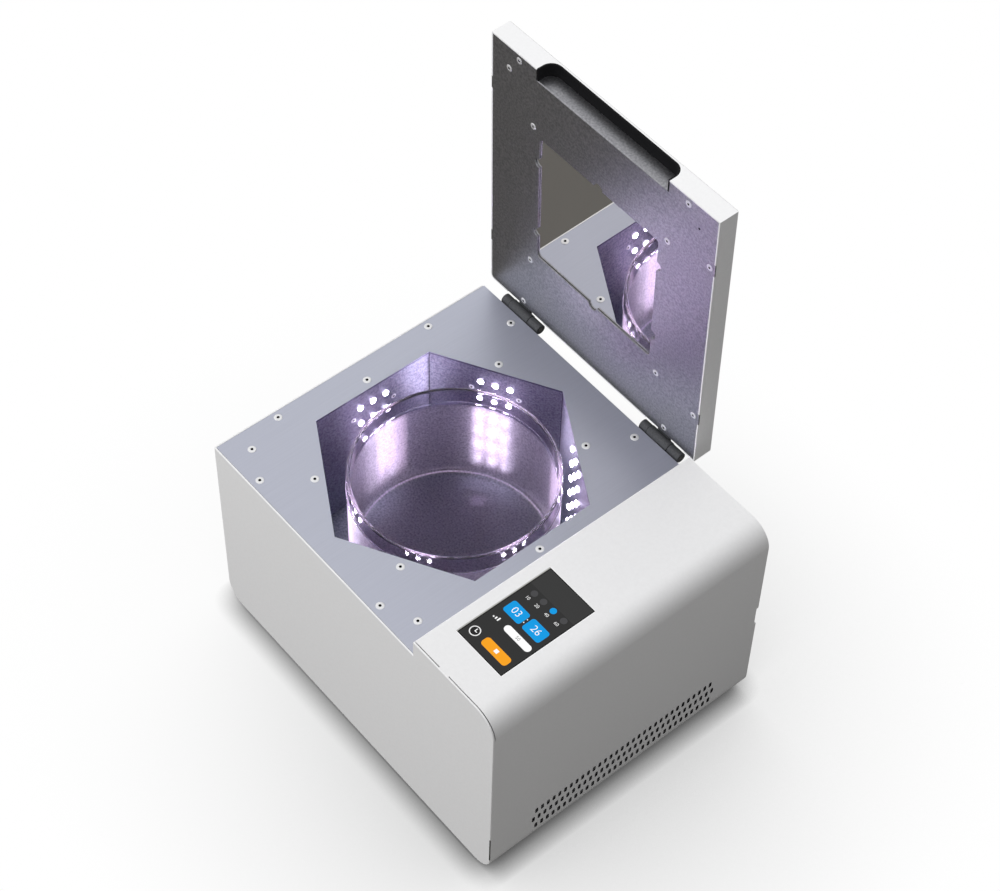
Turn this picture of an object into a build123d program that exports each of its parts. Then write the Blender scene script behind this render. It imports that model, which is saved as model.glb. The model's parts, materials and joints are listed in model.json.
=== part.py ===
from build123d import *
import math
import os

# A bench-top light curing unit for dental laboratories. A sheet-metal cabinet holds a six-sided
# chamber lined with LED boards, a glass dish stands in it, and a mirrored lid swings over it on
# two friction hinges. The console beside the chamber carries the display and the electronics.
# X runs to the right, Y to the back and Z up. The origin is on the floor, under the middle of
# the cabinet. The lid is drawn closed and then swung open, because the unit rests with it open.

# ---- Driving dimensions, in millimetres -------------------------------------------------------

# Cabinet
BODY_W = 360.0
BODY_D = 286.0
DECK_H = 207.0  # deck above the cabinet's underside
CONSOLE_STEP = 19.0  # console top above the deck
CONSOLE_R = 22.0  # bend along the console's right-hand edge
BASE_R = 20.0  # bends along the cabinet's lower edges
WALL_BEND_R = 2.0  # bend on top of the console's wall
SHEET = 1.2  # wrap
PANEL_T = 1.2  # front and rear panels
EDGE_CUT = 0.5  # broken outer edges of the front panel
SEAM = 0.9  # open joint between the front panel and the console top
SEAM_TAB_IN = 31.0  # console's wall to the tab that bridges the seam
SEAM_TAB_W = 11.0
WALL_FLANGE = 16.0  # the console's wall runs on below the deck
NOTCH_Z = 98.8  # pry notch in the right-hand rear edge, above the underside
NOTCH_H = 22.5
NOTCH_D = 2.0
FOOT_H = 5.0
FOOT_R = 11.0
FOOT_IN = 30.0  # foot centre in from the cabinet's sides

# Vents in the right-hand wall
VENT_W = 3.2
VENT_H = 7.1
VENT_PITCH = 6.17
VENT_ROW_PITCH = 11.75
VENT_ROWS = 3
VENT_COUNT = 33  # in the middle row, and one fewer in its neighbours
VENT_Z = 25.0  # lowest row above the underside
VENT_BACK = 1.5  # middle of the rows behind the cabinet's middle

# Deck and its rails
DECK_T = 2.0
DECK_FIT = 0.2  # clearance round the deck plate
RAIL_LEG = 15.0
RAIL_T = 1.5

# Chamber, as large as the deck and the rails under it allow
CHAMBER_MARGIN_X = 27.0  # half the deck's width less half the chamber's
CHAMBER_MARGIN_Y = 23.0  # and the same of their depths
CHAMBER_RIGHT = 3.2  # chamber axis to the right of the deck's middle
CHAMBER_FRONT = 1.2  # and in front of it
CHAMBER_DEPTH = 139.5  # deck to chamber floor
CHAMBER_WALL_T = 1.2
CHAMBER_SET = 0.5  # chamber walls stand back from the deck's opening
CHAMBER_FLOOR_T = 1.5
WALL_FOOT_W = 60.0  # screw flange on top of each chamber wall
WALL_FOOT_L = 13.0
POST_ACROSS = 8.0  # hexagonal posts below the chamber floor, across flats
POST_RADIUS = 88.0

# LED boards, one behind each chamber wall
LED_COLUMNS = 3
LED_ROWS = 6
LED_PITCH_X = 13.4
LED_PITCH_Z = 20.0
LED_TOP = 20.0  # first row below the deck
LED_WINDOW = 5.4
LED_SIDE = 4.6
LED_RISE = 1.0  # LED package above its board
BOARD_W = 56.0
BOARD_H = 120.0
BOARD_TOP = 10.0  # board's upper edge below the deck
BOARD_T = 1.6
SINK_W = 48.0
SINK_H = 96.0
SINK_BASE = 3.0
SINK_DEPTH = 12.0
SINK_FINS = 5
SINK_FIN_T = 1.4

# Dish and the rest that it stands on
DISH_RIGHT = 1.8  # dish axis to the right of the chamber's
DISH_BACK = 1.9  # and behind it
DISH_CLEAR = 14.6  # dish to the chamber's flats, when it stands in the middle
DISH_SUNK = 11.0  # rim below the deck
DISH_WALL = 4.3
DISH_BASE = 5.0
DISH_HEEL_CUT = 6.0
BEAD_Z = 98.0  # bead below the rim, above the dish's underside
BEAD_H = 3.0
BEAD_RISE = 0.8
REST_H = 10.0
REST_IN = 19.3  # dish's side to the end of the rest's arms
REST_ARM_W = 16.0
REST_T = 1.5
PAD_T = 1.5
PAD_W = 12.0
PAD_IN = 10.0  # end of an arm to the middle of its pad

# Lid, measured closed. Its depth coordinate starts at the plate's lower face.
LID_OPEN_DEG = 88.93
LID_SIDE_GAP = 0.7  # to the console's wall, and in from the cabinet's left side
LID_SET = 0.75  # hinge-side edge in from the cabinet's back
LID_OVERHANG = 1.75  # front edge out over the cabinet's front
LID_T = 19.0
LID_GAP = 1.17  # plate above the deck when closed
LID_SHEET = 1.3
LID_CORNER_R = 5.0  # rear left corner, relieved beside the hinge
LID_EDGE_CUT = 0.8
PLATE_T = 1.2
PLATE_FIT = 0.2
PLATE_TAB_W = 13.0
PLATE_TAB_BACK = 48.0  # tabs over the side walls, from the hinge-side edge
PLATE_TAB_FRONT = 60.0  # and from the front edge
WINDOW_LEFT = 60.0  # cabinet's left side to the window
WINDOW_RIGHT = 62.0  # window to the console's wall
WINDOW_BACK = 77.5  # hinge-side edge to the window
WINDOW_FRONT = 71.5  # window to the front edge
WINDOW_R = 4.0
CLIP_NOTCH_R = 5.0
CLIP_OFFSET = 40.5  # side clips from the window's middle
SEAL_T = 0.4
MIRROR_T = 3.0
MIRROR_LAP = 9.0  # mirror beyond the window on each side
MIRROR_CUT = 10.0
SEAL_W = 3.6
CLIP_W = 10.0
CLIP_T = 1.2
CLIP_FOOT = 9.0
CLIP_LAP = 4.0
STANDOFF_ACROSS = 5.5
STANDOFF_OUT_X = (8.0, 9.0)  # standoffs beside the window, to the left and right of it
STANDOFF_OUT_V = (12.0, 7.5)  # and behind and in front of it
FRONT_STANDOFF_X = 34.0  # in from the cabinet's left side and the console's wall
FRONT_STANDOFF_V = 7.0  # in from the lid's front edge

# Finger recess in the lid's front edge
GRIP_LEFT = 56.0  # cabinet's left side to the recess
GRIP_RIGHT = 57.0  # recess to the console's wall
GRIP_V = 12.0  # from the lid's front face to the flange behind the fingers
GRIP_DEPTH = 15.2  # from the plate's face to the ceiling
GRIP_R = 9.0
GRIP_LINER_T = 1.5
FLANGE_R = 1.0  # bend between the plate and its flange

# Small and hidden rounds are drawn with flats
FLAT_COUNT = 24
FEW_FLAT_COUNT = 12

# Friction hinges
HINGE_BACK = 6.0  # hinge axis behind the cabinet
HINGE_DROP = 1.2  # and below the deck
HINGE_LEFT = 23.2  # cabinet's left side to the first barrel's left end
HINGE_RIGHT = 60.5  # the second barrel's left end to the console's wall
KNUCKLES = (8.7, 25.0, 13.2)  # cabinet's short knuckle, lid's knuckle, cabinet's long one
KNUCKLE_GAP = 0.3
BARREL_R = 4.65
PIN_R = 2.0
PIN_FIT = 0.05
BODY_LEAF_T = 2.5
BODY_LEAF_L = 20.0
LID_LEAF_T = 2.5
LID_LEAF_W = 14.0
LID_LEAF_L = 18.0

# Catch magnets, one pair in each front corner, with a switch beside the right-hand one
CATCH_LEFT = 21.2  # from the cabinet's left side
CATCH_RIGHT = 22.5  # from the console's wall
CATCH_Y = 23.0
MAGNET_W = 8.0
MAGNET_T = 3.0
SENSOR_W = 12.0
SENSOR_L = 18.0
SENSOR_T = 5.0

# Display, which sets the console's width
SCREEN_LEFT = 13.8  # console's wall to the screen
SCREEN_RIGHT = 31.2  # screen to the cabinet's right side
SCREEN_Y = 32.6
SCREEN_W = 53.0
SCREEN_L = 94.8
SCREEN_FIT = 0.4
SCREEN_R = 1.0
MODULE_LAP_X = 7.0
MODULE_LAP_Y = 5.3
MODULE_T = 8.0

# Electronics inside
BOARD_STAND_H = 8.0
BOARD_STAND_ACROSS = 6.0
CONTROL_W = 110.0
CONTROL_L = 90.0
CONTROL_LEFT = 64.2  # board's left edge from the chamber's axis
CONTROL_FRONT = 81.8  # and its front edge
INDUCTOR_W = 12.0
PLUG_W = 8.0
CORE_W = 24.0  # transformer and filter choke in the supply
SUPPLY_W = 92.0
SUPPLY_L = 129.0
SUPPLY_H = 30.0
SUPPLY_T = 1.2
SUPPLY_IN = 22.0  # in from the cabinet's right side
SUPPLY_Y = 60.0

# Rear panel: fan, mains inlet and power switch share one centre line
REAR_IN = 48.0  # in from the cabinet's right side
FAN_Z = 125.0
FAN = 80.0
FAN_T = 25.0
FAN_BORE_R = 38.0
FAN_HUB_R = 17.0
FAN_BLADES = 5
FAN_BLADE_T = 1.6
FAN_BLADE_CHORD = 22.0
FAN_BLADE_PITCH = 38.0
FAN_TIP_GAP = 2.0
FAN_SHAFT_R = 1.5
FAN_SHAFT_FIT = 0.05
FAN_PLATE_T = 3.0
FAN_STRUT_W = 4.0
GRILLE_SLOT = 3.2
GRILLE_PITCH = 7.0
INLET_Z = 30.0
INLET_W = 27.0
INLET_H = 20.0
INLET_D = 24.0
INLET_RIM = 4.5
INLET_RIM_T = 2.0
SOCKET_W = 24.0
SOCKET_H = 16.4
SOCKET_D = 16.0
BLADE_W = 2.0
BLADE_H = 4.0
BLADE_L = 12.0
BLADE_SIDE = 7.0
BLADE_RISE = 2.0
SWITCH_Z = 62.0
SWITCH_W = 13.0
SWITCH_H = 19.2
SWITCH_D = 14.0
SWITCH_RIM = 1.6
SWITCH_RIM_T = 1.5
SWITCH_WALL = 1.4
ROCKER_GAP = 0.4
ROCKER_TILT_DEG = 8.0
ROCKER_PIVOT_R = 1.0
ROCKER_PIVOT_FIT = 0.05
ROCKER_PIVOT_IN = 2.0  # pivot in front of the rear panel's outer face
ROCKER_RISE = 4.0  # rocker's middle behind its pivot

# ---- Places worked out from them --------------------------------------------------------------

LEFT = -BODY_W / 2
RIGHT = BODY_W / 2
FRONT = -BODY_D / 2
BACK = BODY_D / 2
UNDER = FOOT_H
INSIDE = UNDER + SHEET
DECK = UNDER + DECK_H
DECK_BOTTOM = DECK - DECK_T
CONSOLE = DECK + CONSOLE_STEP
CONSOLE_X = RIGHT - SCREEN_LEFT - SCREEN_W - SCREEN_RIGHT
SCREEN_X = CONSOLE_X + SCREEN_LEFT
DECK_W = CONSOLE_X - LEFT

HEX_APOTHEM = min(DECK_W / 2 - CHAMBER_MARGIN_X, (BODY_D / 2 - CHAMBER_MARGIN_Y) * math.cos(math.pi / 6))
HEX_CENTRE = (LEFT + DECK_W / 2 + CHAMBER_RIGHT, -CHAMBER_FRONT)
WALL_IN = HEX_APOTHEM + CHAMBER_SET
WALL_OUT = WALL_IN + CHAMBER_WALL_T
BOARD_OUT = WALL_OUT + BOARD_T
CHAMBER_FLOOR = DECK - CHAMBER_DEPTH
SIDES = {"right": 0, "back_right": 60, "back_left": 120, "left": 180, "front_left": 240, "front_right": 300}

DISH_CENTRE = (HEX_CENTRE[0] + DISH_RIGHT, HEX_CENTRE[1] + DISH_BACK)
REST_TOP = CHAMBER_FLOOR + REST_H
DISH_Z = REST_TOP + PAD_T
DISH_R = HEX_APOTHEM - DISH_CLEAR
DISH_H = DECK - DISH_SUNK - DISH_Z
REST_ARM_L = DISH_R - REST_IN

HINGE_Y = BACK + HINGE_BACK
HINGE_Z = DECK - HINGE_DROP
HINGE_AXIS = Axis((0, HINGE_Y, HINGE_Z), (1, 0, 0))
LEAF_Z = DECK_BOTTOM - BODY_LEAF_T

LID_Z = DECK + LID_GAP
LID_X0 = LEFT + LID_SIDE_GAP
LID_X1 = CONSOLE_X - LID_SIDE_GAP
LID_BACK = BACK - LID_SET
LID_FRONT = FRONT - LID_OVERHANG
LID_INNER = LID_T - LID_SHEET
PLATE_TOP = LID_Z + PLATE_T
MIRROR_Z = PLATE_TOP + SEAL_T
WINDOW_X0, WINDOW_X1 = LEFT + WINDOW_LEFT, CONSOLE_X - WINDOW_RIGHT
WINDOW_Y0, WINDOW_Y1 = LID_FRONT + WINDOW_FRONT, LID_BACK - WINDOW_BACK
GRIP_BACK = LID_FRONT + GRIP_V
GRIP_X0, GRIP_X1 = LEFT + GRIP_LEFT, CONSOLE_X - GRIP_RIGHT
CATCH_X = (LEFT + CATCH_LEFT, CONSOLE_X - CATCH_RIGHT)

CONTROL_CORNER = (HEX_CENTRE[0] - CONTROL_LEFT, HEX_CENTRE[1] - CONTROL_FRONT)
REAR_CX = RIGHT - REAR_IN


# ---- Helpers ----------------------------------------------------------------------------------


def block(x0, x1, y0, y1, z0, z1):
    """A box between two corners."""
    return Pos((x0 + x1) / 2, (y0 + y1) / 2, (z0 + z1) / 2) * Box(x1 - x0, y1 - y0, z1 - z0)


def facing_front(sketch, y0, y1):
    """A sketch of X and Z, made solid between two depths."""
    plane = Plane(origin=(0, y1, 0), x_dir=(1, 0, 0), z_dir=(0, -1, 0))
    return extrude(plane * sketch, y1 - y0)


def facing_side(sketch, x0, x1):
    """A sketch of Y and Z, made solid between two sides."""
    plane = Plane(origin=(x0, 0, 0), x_dir=(0, 1, 0), z_dir=(1, 0, 0))
    return extrude(plane * sketch, x1 - x0)


def upright(sketch, z0, z1):
    """A sketch of X and Y, made solid between two heights."""
    return extrude(Pos(0, 0, z0) * sketch, z1 - z0)


def rectangle(x0, x1, y0, y1):
    return Pos((x0 + x1) / 2, (y0 + y1) / 2) * Rectangle(x1 - x0, y1 - y0)


def hexagon(apothem):
    """A hexagon with flats to the left and right."""
    return RegularPolygon(radius=apothem, side_count=6, major_radius=False, rotation=30)


def faceted(radius, sides=FEW_FLAT_COUNT):
    """A small or hidden round drawn with flats that touch the circle, so that it stays light."""
    return RegularPolygon(radius=radius, side_count=sides, major_radius=False)


def posts(places, across, z0, z1):
    """Hexagonal posts at the given places."""
    return [Pos(x, y, z0) * extrude(hexagon(across / 2), z1 - z0) for x, y in places]


def on_side(angle, shape):
    """Turns a shape drawn for the right-hand chamber wall to the wall at an angle."""
    return Pos(*HEX_CENTRE, 0) * Rot(0, 0, angle) * shape


def opened(shape):
    """Swings a lid piece from closed to the open pose that the unit rests in."""
    return shape.rotate(HINGE_AXIS, -LID_OPEN_DEG)


# ---- Cabinet ----------------------------------------------------------------------------------


def cabinet_outline(inset=0.0):
    """The cabinet seen from the front, or its inner face when inset by the sheet's thickness."""
    left, right = LEFT + inset, RIGHT - inset
    under, top = UNDER + inset, CONSOLE - inset
    step, deck = CONSOLE_X + inset, DECK - inset
    corners = [(left, under), (right, under), (right, top), (step, top), (step, deck), (left, deck)]
    face = Polygon(*corners, align=None)
    for corner, radius in (
        ((left, under), BASE_R),
        ((right, under), BASE_R),
        ((right, top), CONSOLE_R),
        ((step, top), WALL_BEND_R),
    ):
        vertex = face.vertices().sort_by_distance((*corner, 0))[0]
        face = fillet(vertex, radius - inset)
    return face


def vent_slots():
    """Three staggered rows of upright slots through the right-hand wall."""
    slots = []
    for row in range(VENT_ROWS):
        count = VENT_COUNT - (row + 1) % 2
        for column in range(count):
            y = VENT_BACK + (column - (count - 1) / 2) * VENT_PITCH
            z = UNDER + VENT_Z + row * VENT_ROW_PITCH
            vent = Pos(y, z) * Rectangle(VENT_W, VENT_H)
            slots.append(facing_side(vent, RIGHT - 2 * SHEET, RIGHT + SHEET))
    return slots


def screen_face(clearance, radius):
    x0, y0 = SCREEN_X, FRONT + SCREEN_Y
    face = rectangle(x0 - clearance, x0 + SCREEN_W + clearance, y0 - clearance, y0 + SCREEN_L + clearance)
    return fillet(face.vertices(), radius)


def pry_notch():
    z0 = UNDER + NOTCH_Z
    return block(RIGHT - 2 * SHEET, RIGHT + SHEET, BACK - NOTCH_D, BACK + SHEET, z0, z0 + NOTCH_H)


def make_cabinet_wrap():
    """One bent sheet: left wall, base, right wall, console top and the console's wall."""
    ring = cabinet_outline() - cabinet_outline(SHEET)
    ring -= rectangle(LEFT + SHEET, CONSOLE_X, DECK - 2 * SHEET, DECK + SHEET)
    ring += rectangle(CONSOLE_X, CONSOLE_X + SHEET, DECK - WALL_FLANGE, DECK)
    y0, y1 = FRONT + PANEL_T, BACK - PANEL_T
    wrap = facing_front(ring, y0, y1)
    seam = block(CONSOLE_X - SHEET, RIGHT + SHEET, y0, y0 + SEAM, CONSOLE - CONSOLE_R, CONSOLE + SHEET)
    tab_x = CONSOLE_X + SEAM_TAB_IN
    seam -= block(tab_x, tab_x + SEAM_TAB_W, y0, y0 + SEAM, CONSOLE - CONSOLE_R, CONSOLE + SHEET)
    screen = upright(screen_face(SCREEN_FIT, SCREEN_R + SCREEN_FIT), CONSOLE - 2 * SHEET, CONSOLE + SHEET)
    return wrap - seam - screen - pry_notch() - vent_slots()


def make_front_panel():
    panel = facing_front(cabinet_outline(), FRONT, FRONT + PANEL_T)
    return chamfer(panel.faces().sort_by(Axis.Y)[0].edges(), EDGE_CUT)


def fan_grille():
    """Level slots whose lengths follow the fan's bore."""
    slots = []
    rows = int(FAN_BORE_R / GRILLE_PITCH)
    for row in range(-rows, rows + 1):
        dz = row * GRILLE_PITCH
        half = math.sqrt(FAN_BORE_R**2 - dz**2) - GRILLE_SLOT / 2
        if half > GRILLE_PITCH:
            slots.append(Pos(REAR_CX, UNDER + FAN_Z + dz) * Rectangle(2 * half, GRILLE_SLOT))
    return slots


def hinge_spans():
    """The X ranges of each hinge's three knuckles."""
    for x0 in (LEFT + HINGE_LEFT, CONSOLE_X - HINGE_RIGHT):
        x1 = x0 + KNUCKLES[0]
        x2 = x1 + KNUCKLES[1]
        x3 = x2 + KNUCKLES[2]
        yield x0, x1, x2, x3


def make_rear_panel():
    face = cabinet_outline() - rectangle(LEFT, CONSOLE_X, DECK_BOTTOM, DECK + SHEET)
    for grille_slot in fan_grille():
        face -= grille_slot
    face -= Pos(REAR_CX, UNDER + INLET_Z) * Rectangle(INLET_W + DECK_FIT, INLET_H + DECK_FIT)
    face -= Pos(REAR_CX, UNDER + SWITCH_Z) * Rectangle(SWITCH_W + DECK_FIT, SWITCH_H + DECK_FIT)
    for x0, _, _, x3 in hinge_spans():
        face -= rectangle(x0 - DECK_FIT, x3 + DECK_FIT, LEAF_Z - DECK_FIT, DECK_BOTTOM)
    return facing_front(face, BACK - PANEL_T, BACK) - pry_notch()


def make_deck_plate():
    """The brushed deck, let in between the front panel, the left wall and the console's wall."""
    x0, x1 = LEFT + SHEET + DECK_FIT, CONSOLE_X - DECK_FIT
    opening = Pos(*HEX_CENTRE) * hexagon(HEX_APOTHEM)
    return upright(rectangle(x0, x1, FRONT + PANEL_T + DECK_FIT, BACK) - opening, DECK_BOTTOM, DECK)


def make_deck_rails():
    """Angles under three of the deck's edges; the rear one leaves room for the hinge leaves."""
    top, low = DECK_BOTTOM, DECK_BOTTOM - RAIL_LEG
    x0, x1 = LEFT + SHEET, CONSOLE_X
    y0, y1 = FRONT + PANEL_T, BACK - PANEL_T
    angle = rectangle(0, RAIL_LEG, top - RAIL_T, top) + rectangle(0, RAIL_T, low, top)
    mirrored = mirror(angle, Plane.YZ)
    left = facing_front(Pos(x0, 0) * angle, y0 + RAIL_LEG, y1 - RAIL_LEG)
    rails = [left, facing_side(Pos(y0, 0) * angle, x0, x1)]
    start = x0
    for h0, _, _, h3 in hinge_spans():
        rails.append(facing_side(Pos(y1, 0) * mirrored, start, h0 - DECK_FIT))
        start = h3 + DECK_FIT
    rails.append(facing_side(Pos(y1, 0) * mirrored, start, x1))
    return rails


def make_feet():
    x, y = BODY_W / 2 - FOOT_IN, BODY_D / 2 - FOOT_IN
    foot = upright(faceted(FOOT_R), 0, FOOT_H)
    return [Pos(sx * x, sy * y, 0) * foot for sx in (-1, 1) for sy in (-1, 1)]


# ---- Chamber ----------------------------------------------------------------------------------


def led_places():
    """Across and height of each LED on a wall."""
    for row in range(LED_ROWS):
        for column in range(LED_COLUMNS):
            yield (column - (LED_COLUMNS - 1) / 2) * LED_PITCH_X, DECK - LED_TOP - row * LED_PITCH_Z


def make_chamber_wall(angle):
    """A chamber wall with its LED windows, mitred ends and a screw flange under the deck."""
    low, top = CHAMBER_FLOOR, DECK_BOTTOM
    half_in, half_out = WALL_IN * math.tan(math.pi / 6), WALL_OUT * math.tan(math.pi / 6)
    plan = Polygon(
        (WALL_IN, -half_in), (WALL_OUT, -half_out), (WALL_OUT, half_out), (WALL_IN, half_in), align=None
    )
    wall = upright(plan, low, top)
    windows = Sketch() + [Pos(t, z) * Rectangle(LED_WINDOW, LED_WINDOW) for t, z in led_places()]
    wall -= facing_side(windows, WALL_IN - CHAMBER_WALL_T, WALL_OUT + CHAMBER_WALL_T)
    wall += block(
        WALL_OUT, WALL_IN + WALL_FOOT_L, -WALL_FOOT_W / 2, WALL_FOOT_W / 2, top - CHAMBER_WALL_T, top
    )
    return on_side(angle, wall)


def make_led_board(angle):
    """A circuit board behind a chamber wall with its LEDs, which sit in the wall's windows."""
    z1 = DECK - BOARD_TOP
    board = block(WALL_OUT, BOARD_OUT, -BOARD_W / 2, BOARD_W / 2, z1 - BOARD_H, z1)
    half, x0 = LED_SIDE / 2, WALL_OUT - LED_RISE
    leds = [block(x0, WALL_OUT, t - half, t + half, z - half, z + half) for t, z in led_places()]
    return on_side(angle, board + leds)


def make_led_sinks():
    """A finned heat sink on the back of every LED board."""
    middle = DECK - BOARD_TOP - BOARD_H / 2
    z0, z1 = middle - SINK_H / 2, middle + SINK_H / 2
    profile = rectangle(BOARD_OUT, BOARD_OUT + SINK_BASE, -SINK_W / 2, SINK_W / 2)
    pitch = (SINK_W - SINK_FIN_T) / (SINK_FINS - 1)
    for fin in range(SINK_FINS):
        t = -SINK_W / 2 + fin * pitch
        profile += rectangle(BOARD_OUT, BOARD_OUT + SINK_DEPTH, t, t + SINK_FIN_T)
    sink = upright(profile, z0, z1)
    return [on_side(angle, sink) for angle in SIDES.values()]


def make_chamber_floor():
    return upright(Pos(*HEX_CENTRE) * hexagon(WALL_OUT), CHAMBER_FLOOR - CHAMBER_FLOOR_T, CHAMBER_FLOOR)


def make_chamber_posts():
    """Posts from the cabinet's base to the chamber floor."""
    cx, cy = HEX_CENTRE
    places = [
        (cx + POST_RADIUS * math.cos(math.radians(a)), cy + POST_RADIUS * math.sin(math.radians(a)))
        for a in (30, 90, 150, 210, 270, 330)
    ]
    return posts(places, POST_ACROSS, INSIDE, CHAMBER_FLOOR - CHAMBER_FLOOR_T)


# ---- Dish -------------------------------------------------------------------------------------


def make_glass_dish():
    """A thick straight-sided dish with an eased heel and a bead below the rim."""
    inner = DISH_R - DISH_WALL
    section = rectangle(0, DISH_R, 0, DISH_H) - rectangle(-DISH_R, inner, DISH_BASE, DISH_H + DISH_BASE)
    section = chamfer(section.vertices().sort_by_distance((DISH_R, 0, 0))[0], DISH_HEEL_CUT)
    low, high = BEAD_Z - BEAD_H / 2, BEAD_Z + BEAD_H / 2
    section += Polygon((DISH_R, low), (DISH_R + BEAD_RISE, BEAD_Z), (DISH_R, high), align=None)
    dish = revolve(Plane.XZ * section, Axis.Z)
    return Pos(*DISH_CENTRE, DISH_Z) * dish


def make_dish_rest():
    """A three-armed stand folded from stainless strip."""
    profile = rectangle(0, REST_ARM_L, REST_H - REST_T, REST_H)
    profile += rectangle(REST_ARM_L - REST_T, REST_ARM_L, 0, REST_H)
    arm = facing_front(profile, -REST_ARM_W / 2, REST_ARM_W / 2)
    star = arm + Rot(0, 0, 120) * arm + Rot(0, 0, 240) * arm
    return Pos(*DISH_CENTRE, CHAMBER_FLOOR) * star


def make_dish_pads():
    pad = Box(PAD_W, PAD_W, PAD_T, align=(Align.CENTER, Align.CENTER, Align.MIN))
    pads = [Rot(0, 0, angle) * Pos(REST_ARM_L - PAD_IN, 0, 0) * pad for angle in (0, 120, 240)]
    return [Pos(*DISH_CENTRE, REST_TOP) * shape for shape in pads]


# ---- Hinges -----------------------------------------------------------------------------------


def barrel(x0, x1, bore):
    """A hinge knuckle round the hinge axis."""
    ring = Pos(HINGE_Y, HINGE_Z) * (faceted(BARREL_R, FLAT_COUNT) - faceted(bore))
    return facing_side(ring, x0, x1)


def body_leaf(span):
    """A cabinet leaf: a plate under the deck that carries the two outer knuckles."""
    x0, x1, x2, x3 = span
    gap = KNUCKLE_GAP / 2
    tongue_end = HINGE_Y - PIN_R
    leaf = block(x0, x3, BACK - BODY_LEAF_L, BACK, LEAF_Z, DECK_BOTTOM)
    for start, end in ((x0, x1 - gap), (x2 + gap, x3)):
        tongue = block(start, end, BACK, tongue_end, LEAF_Z, DECK_BOTTOM)
        leaf += tongue - facing_side(Pos(HINGE_Y, HINGE_Z) * Circle(PIN_R), start, end)
        leaf += barrel(start, end, PIN_R)
    return leaf


def lid_leaf(span):
    """A lid leaf: the middle knuckle and a tongue that runs in behind the lid plate."""
    _, x1, x2, _ = span
    gap = KNUCKLE_GAP / 2
    middle = (x1 + x2) / 2
    bore = PIN_R + PIN_FIT
    tongue = block(
        middle - LID_LEAF_W / 2,
        middle + LID_LEAF_W / 2,
        LID_BACK - LID_LEAF_L,
        HINGE_Y,
        PLATE_TOP,
        PLATE_TOP + LID_LEAF_T,
    )
    leaf = tongue + barrel(x1 + gap, x2 - gap, bore)
    return opened(leaf)


def hinge_pin(span):
    return facing_side(Pos(HINGE_Y, HINGE_Z) * Circle(PIN_R), span[0], span[3])


# ---- Lid --------------------------------------------------------------------------------------


def tab_rectangles(x0, x1):
    """The places of the plate's tabs, in plan."""
    ends = (LID_BACK - PLATE_TAB_BACK, LID_FRONT + PLATE_TAB_FRONT)
    return [rectangle(x0, x1, end - PLATE_TAB_W, end) for end in ends]


def grip_outline(spread):
    """The finger recess seen from the front, widened by a liner's thickness."""
    x0, x1, z1 = GRIP_X0 - spread, GRIP_X1 + spread, LID_Z + GRIP_DEPTH + spread
    face = rectangle(x0, x1, LID_Z, z1)
    corners = face.vertices().group_by(Axis.Y)[-1]
    return fillet(corners, GRIP_R + spread)


def lid_plan():
    """The lid from above, with its rear left corner rounded."""
    plan = rectangle(LID_X0, LID_X1, LID_FRONT, LID_BACK)
    corner = plan.vertices().sort_by_distance((LID_X0, LID_BACK, 0))[0]
    return fillet(corner, LID_CORNER_R)


def make_lid_shell():
    """The painted tray: top, four walls, a slot for the fingers and notches for hinges and tabs."""
    plan = lid_plan()
    shell = upright(plan, LID_Z, LID_Z + LID_T)
    shell = chamfer(shell.faces().sort_by(Axis.Z)[-1].edges(), LID_EDGE_CUT)
    shell -= upright(offset(plan, -LID_SHEET), LID_Z, LID_Z + LID_INNER)
    grip = Sketch() + grip_outline(GRIP_LINER_T) - rectangle(LEFT, RIGHT, LID_Z - GRIP_R, LID_Z)
    shell -= facing_front(grip, LID_FRONT - LID_SHEET, LID_FRONT + 2 * LID_SHEET)
    for x0, _, _, x3 in hinge_spans():
        leaf_room = PLATE_TOP + LID_LEAF_T + PLATE_FIT
        shell -= block(x0, x3, LID_BACK - 2 * LID_SHEET, LID_BACK + LID_SHEET, LID_Z, leaf_room)
    for x0, x1 in ((LID_X0, LID_X0 + LID_SHEET), (LID_X1 - LID_SHEET, LID_X1)):
        for tab in tab_rectangles(x0, x1):
            shell -= upright(tab, LID_Z, PLATE_TOP)
    return opened(shell)


def window_plan(spread=0.0):
    return rectangle(WINDOW_X0 - spread, WINDOW_X1 + spread, WINDOW_Y0 - spread, WINDOW_Y1 + spread)


def clip_places():
    """Middle of the window's edge at each clip, with the outward direction in degrees."""
    cx, cy = (WINDOW_X0 + WINDOW_X1) / 2, (WINDOW_Y0 + WINDOW_Y1) / 2
    for side, angle in ((WINDOW_X0, 180), (WINDOW_X1, 0)):
        for shift in (-CLIP_OFFSET, CLIP_OFFSET):
            yield side, cy + shift, angle
    yield cx, WINDOW_Y1, 90
    yield cx, WINDOW_Y0, 270


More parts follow.
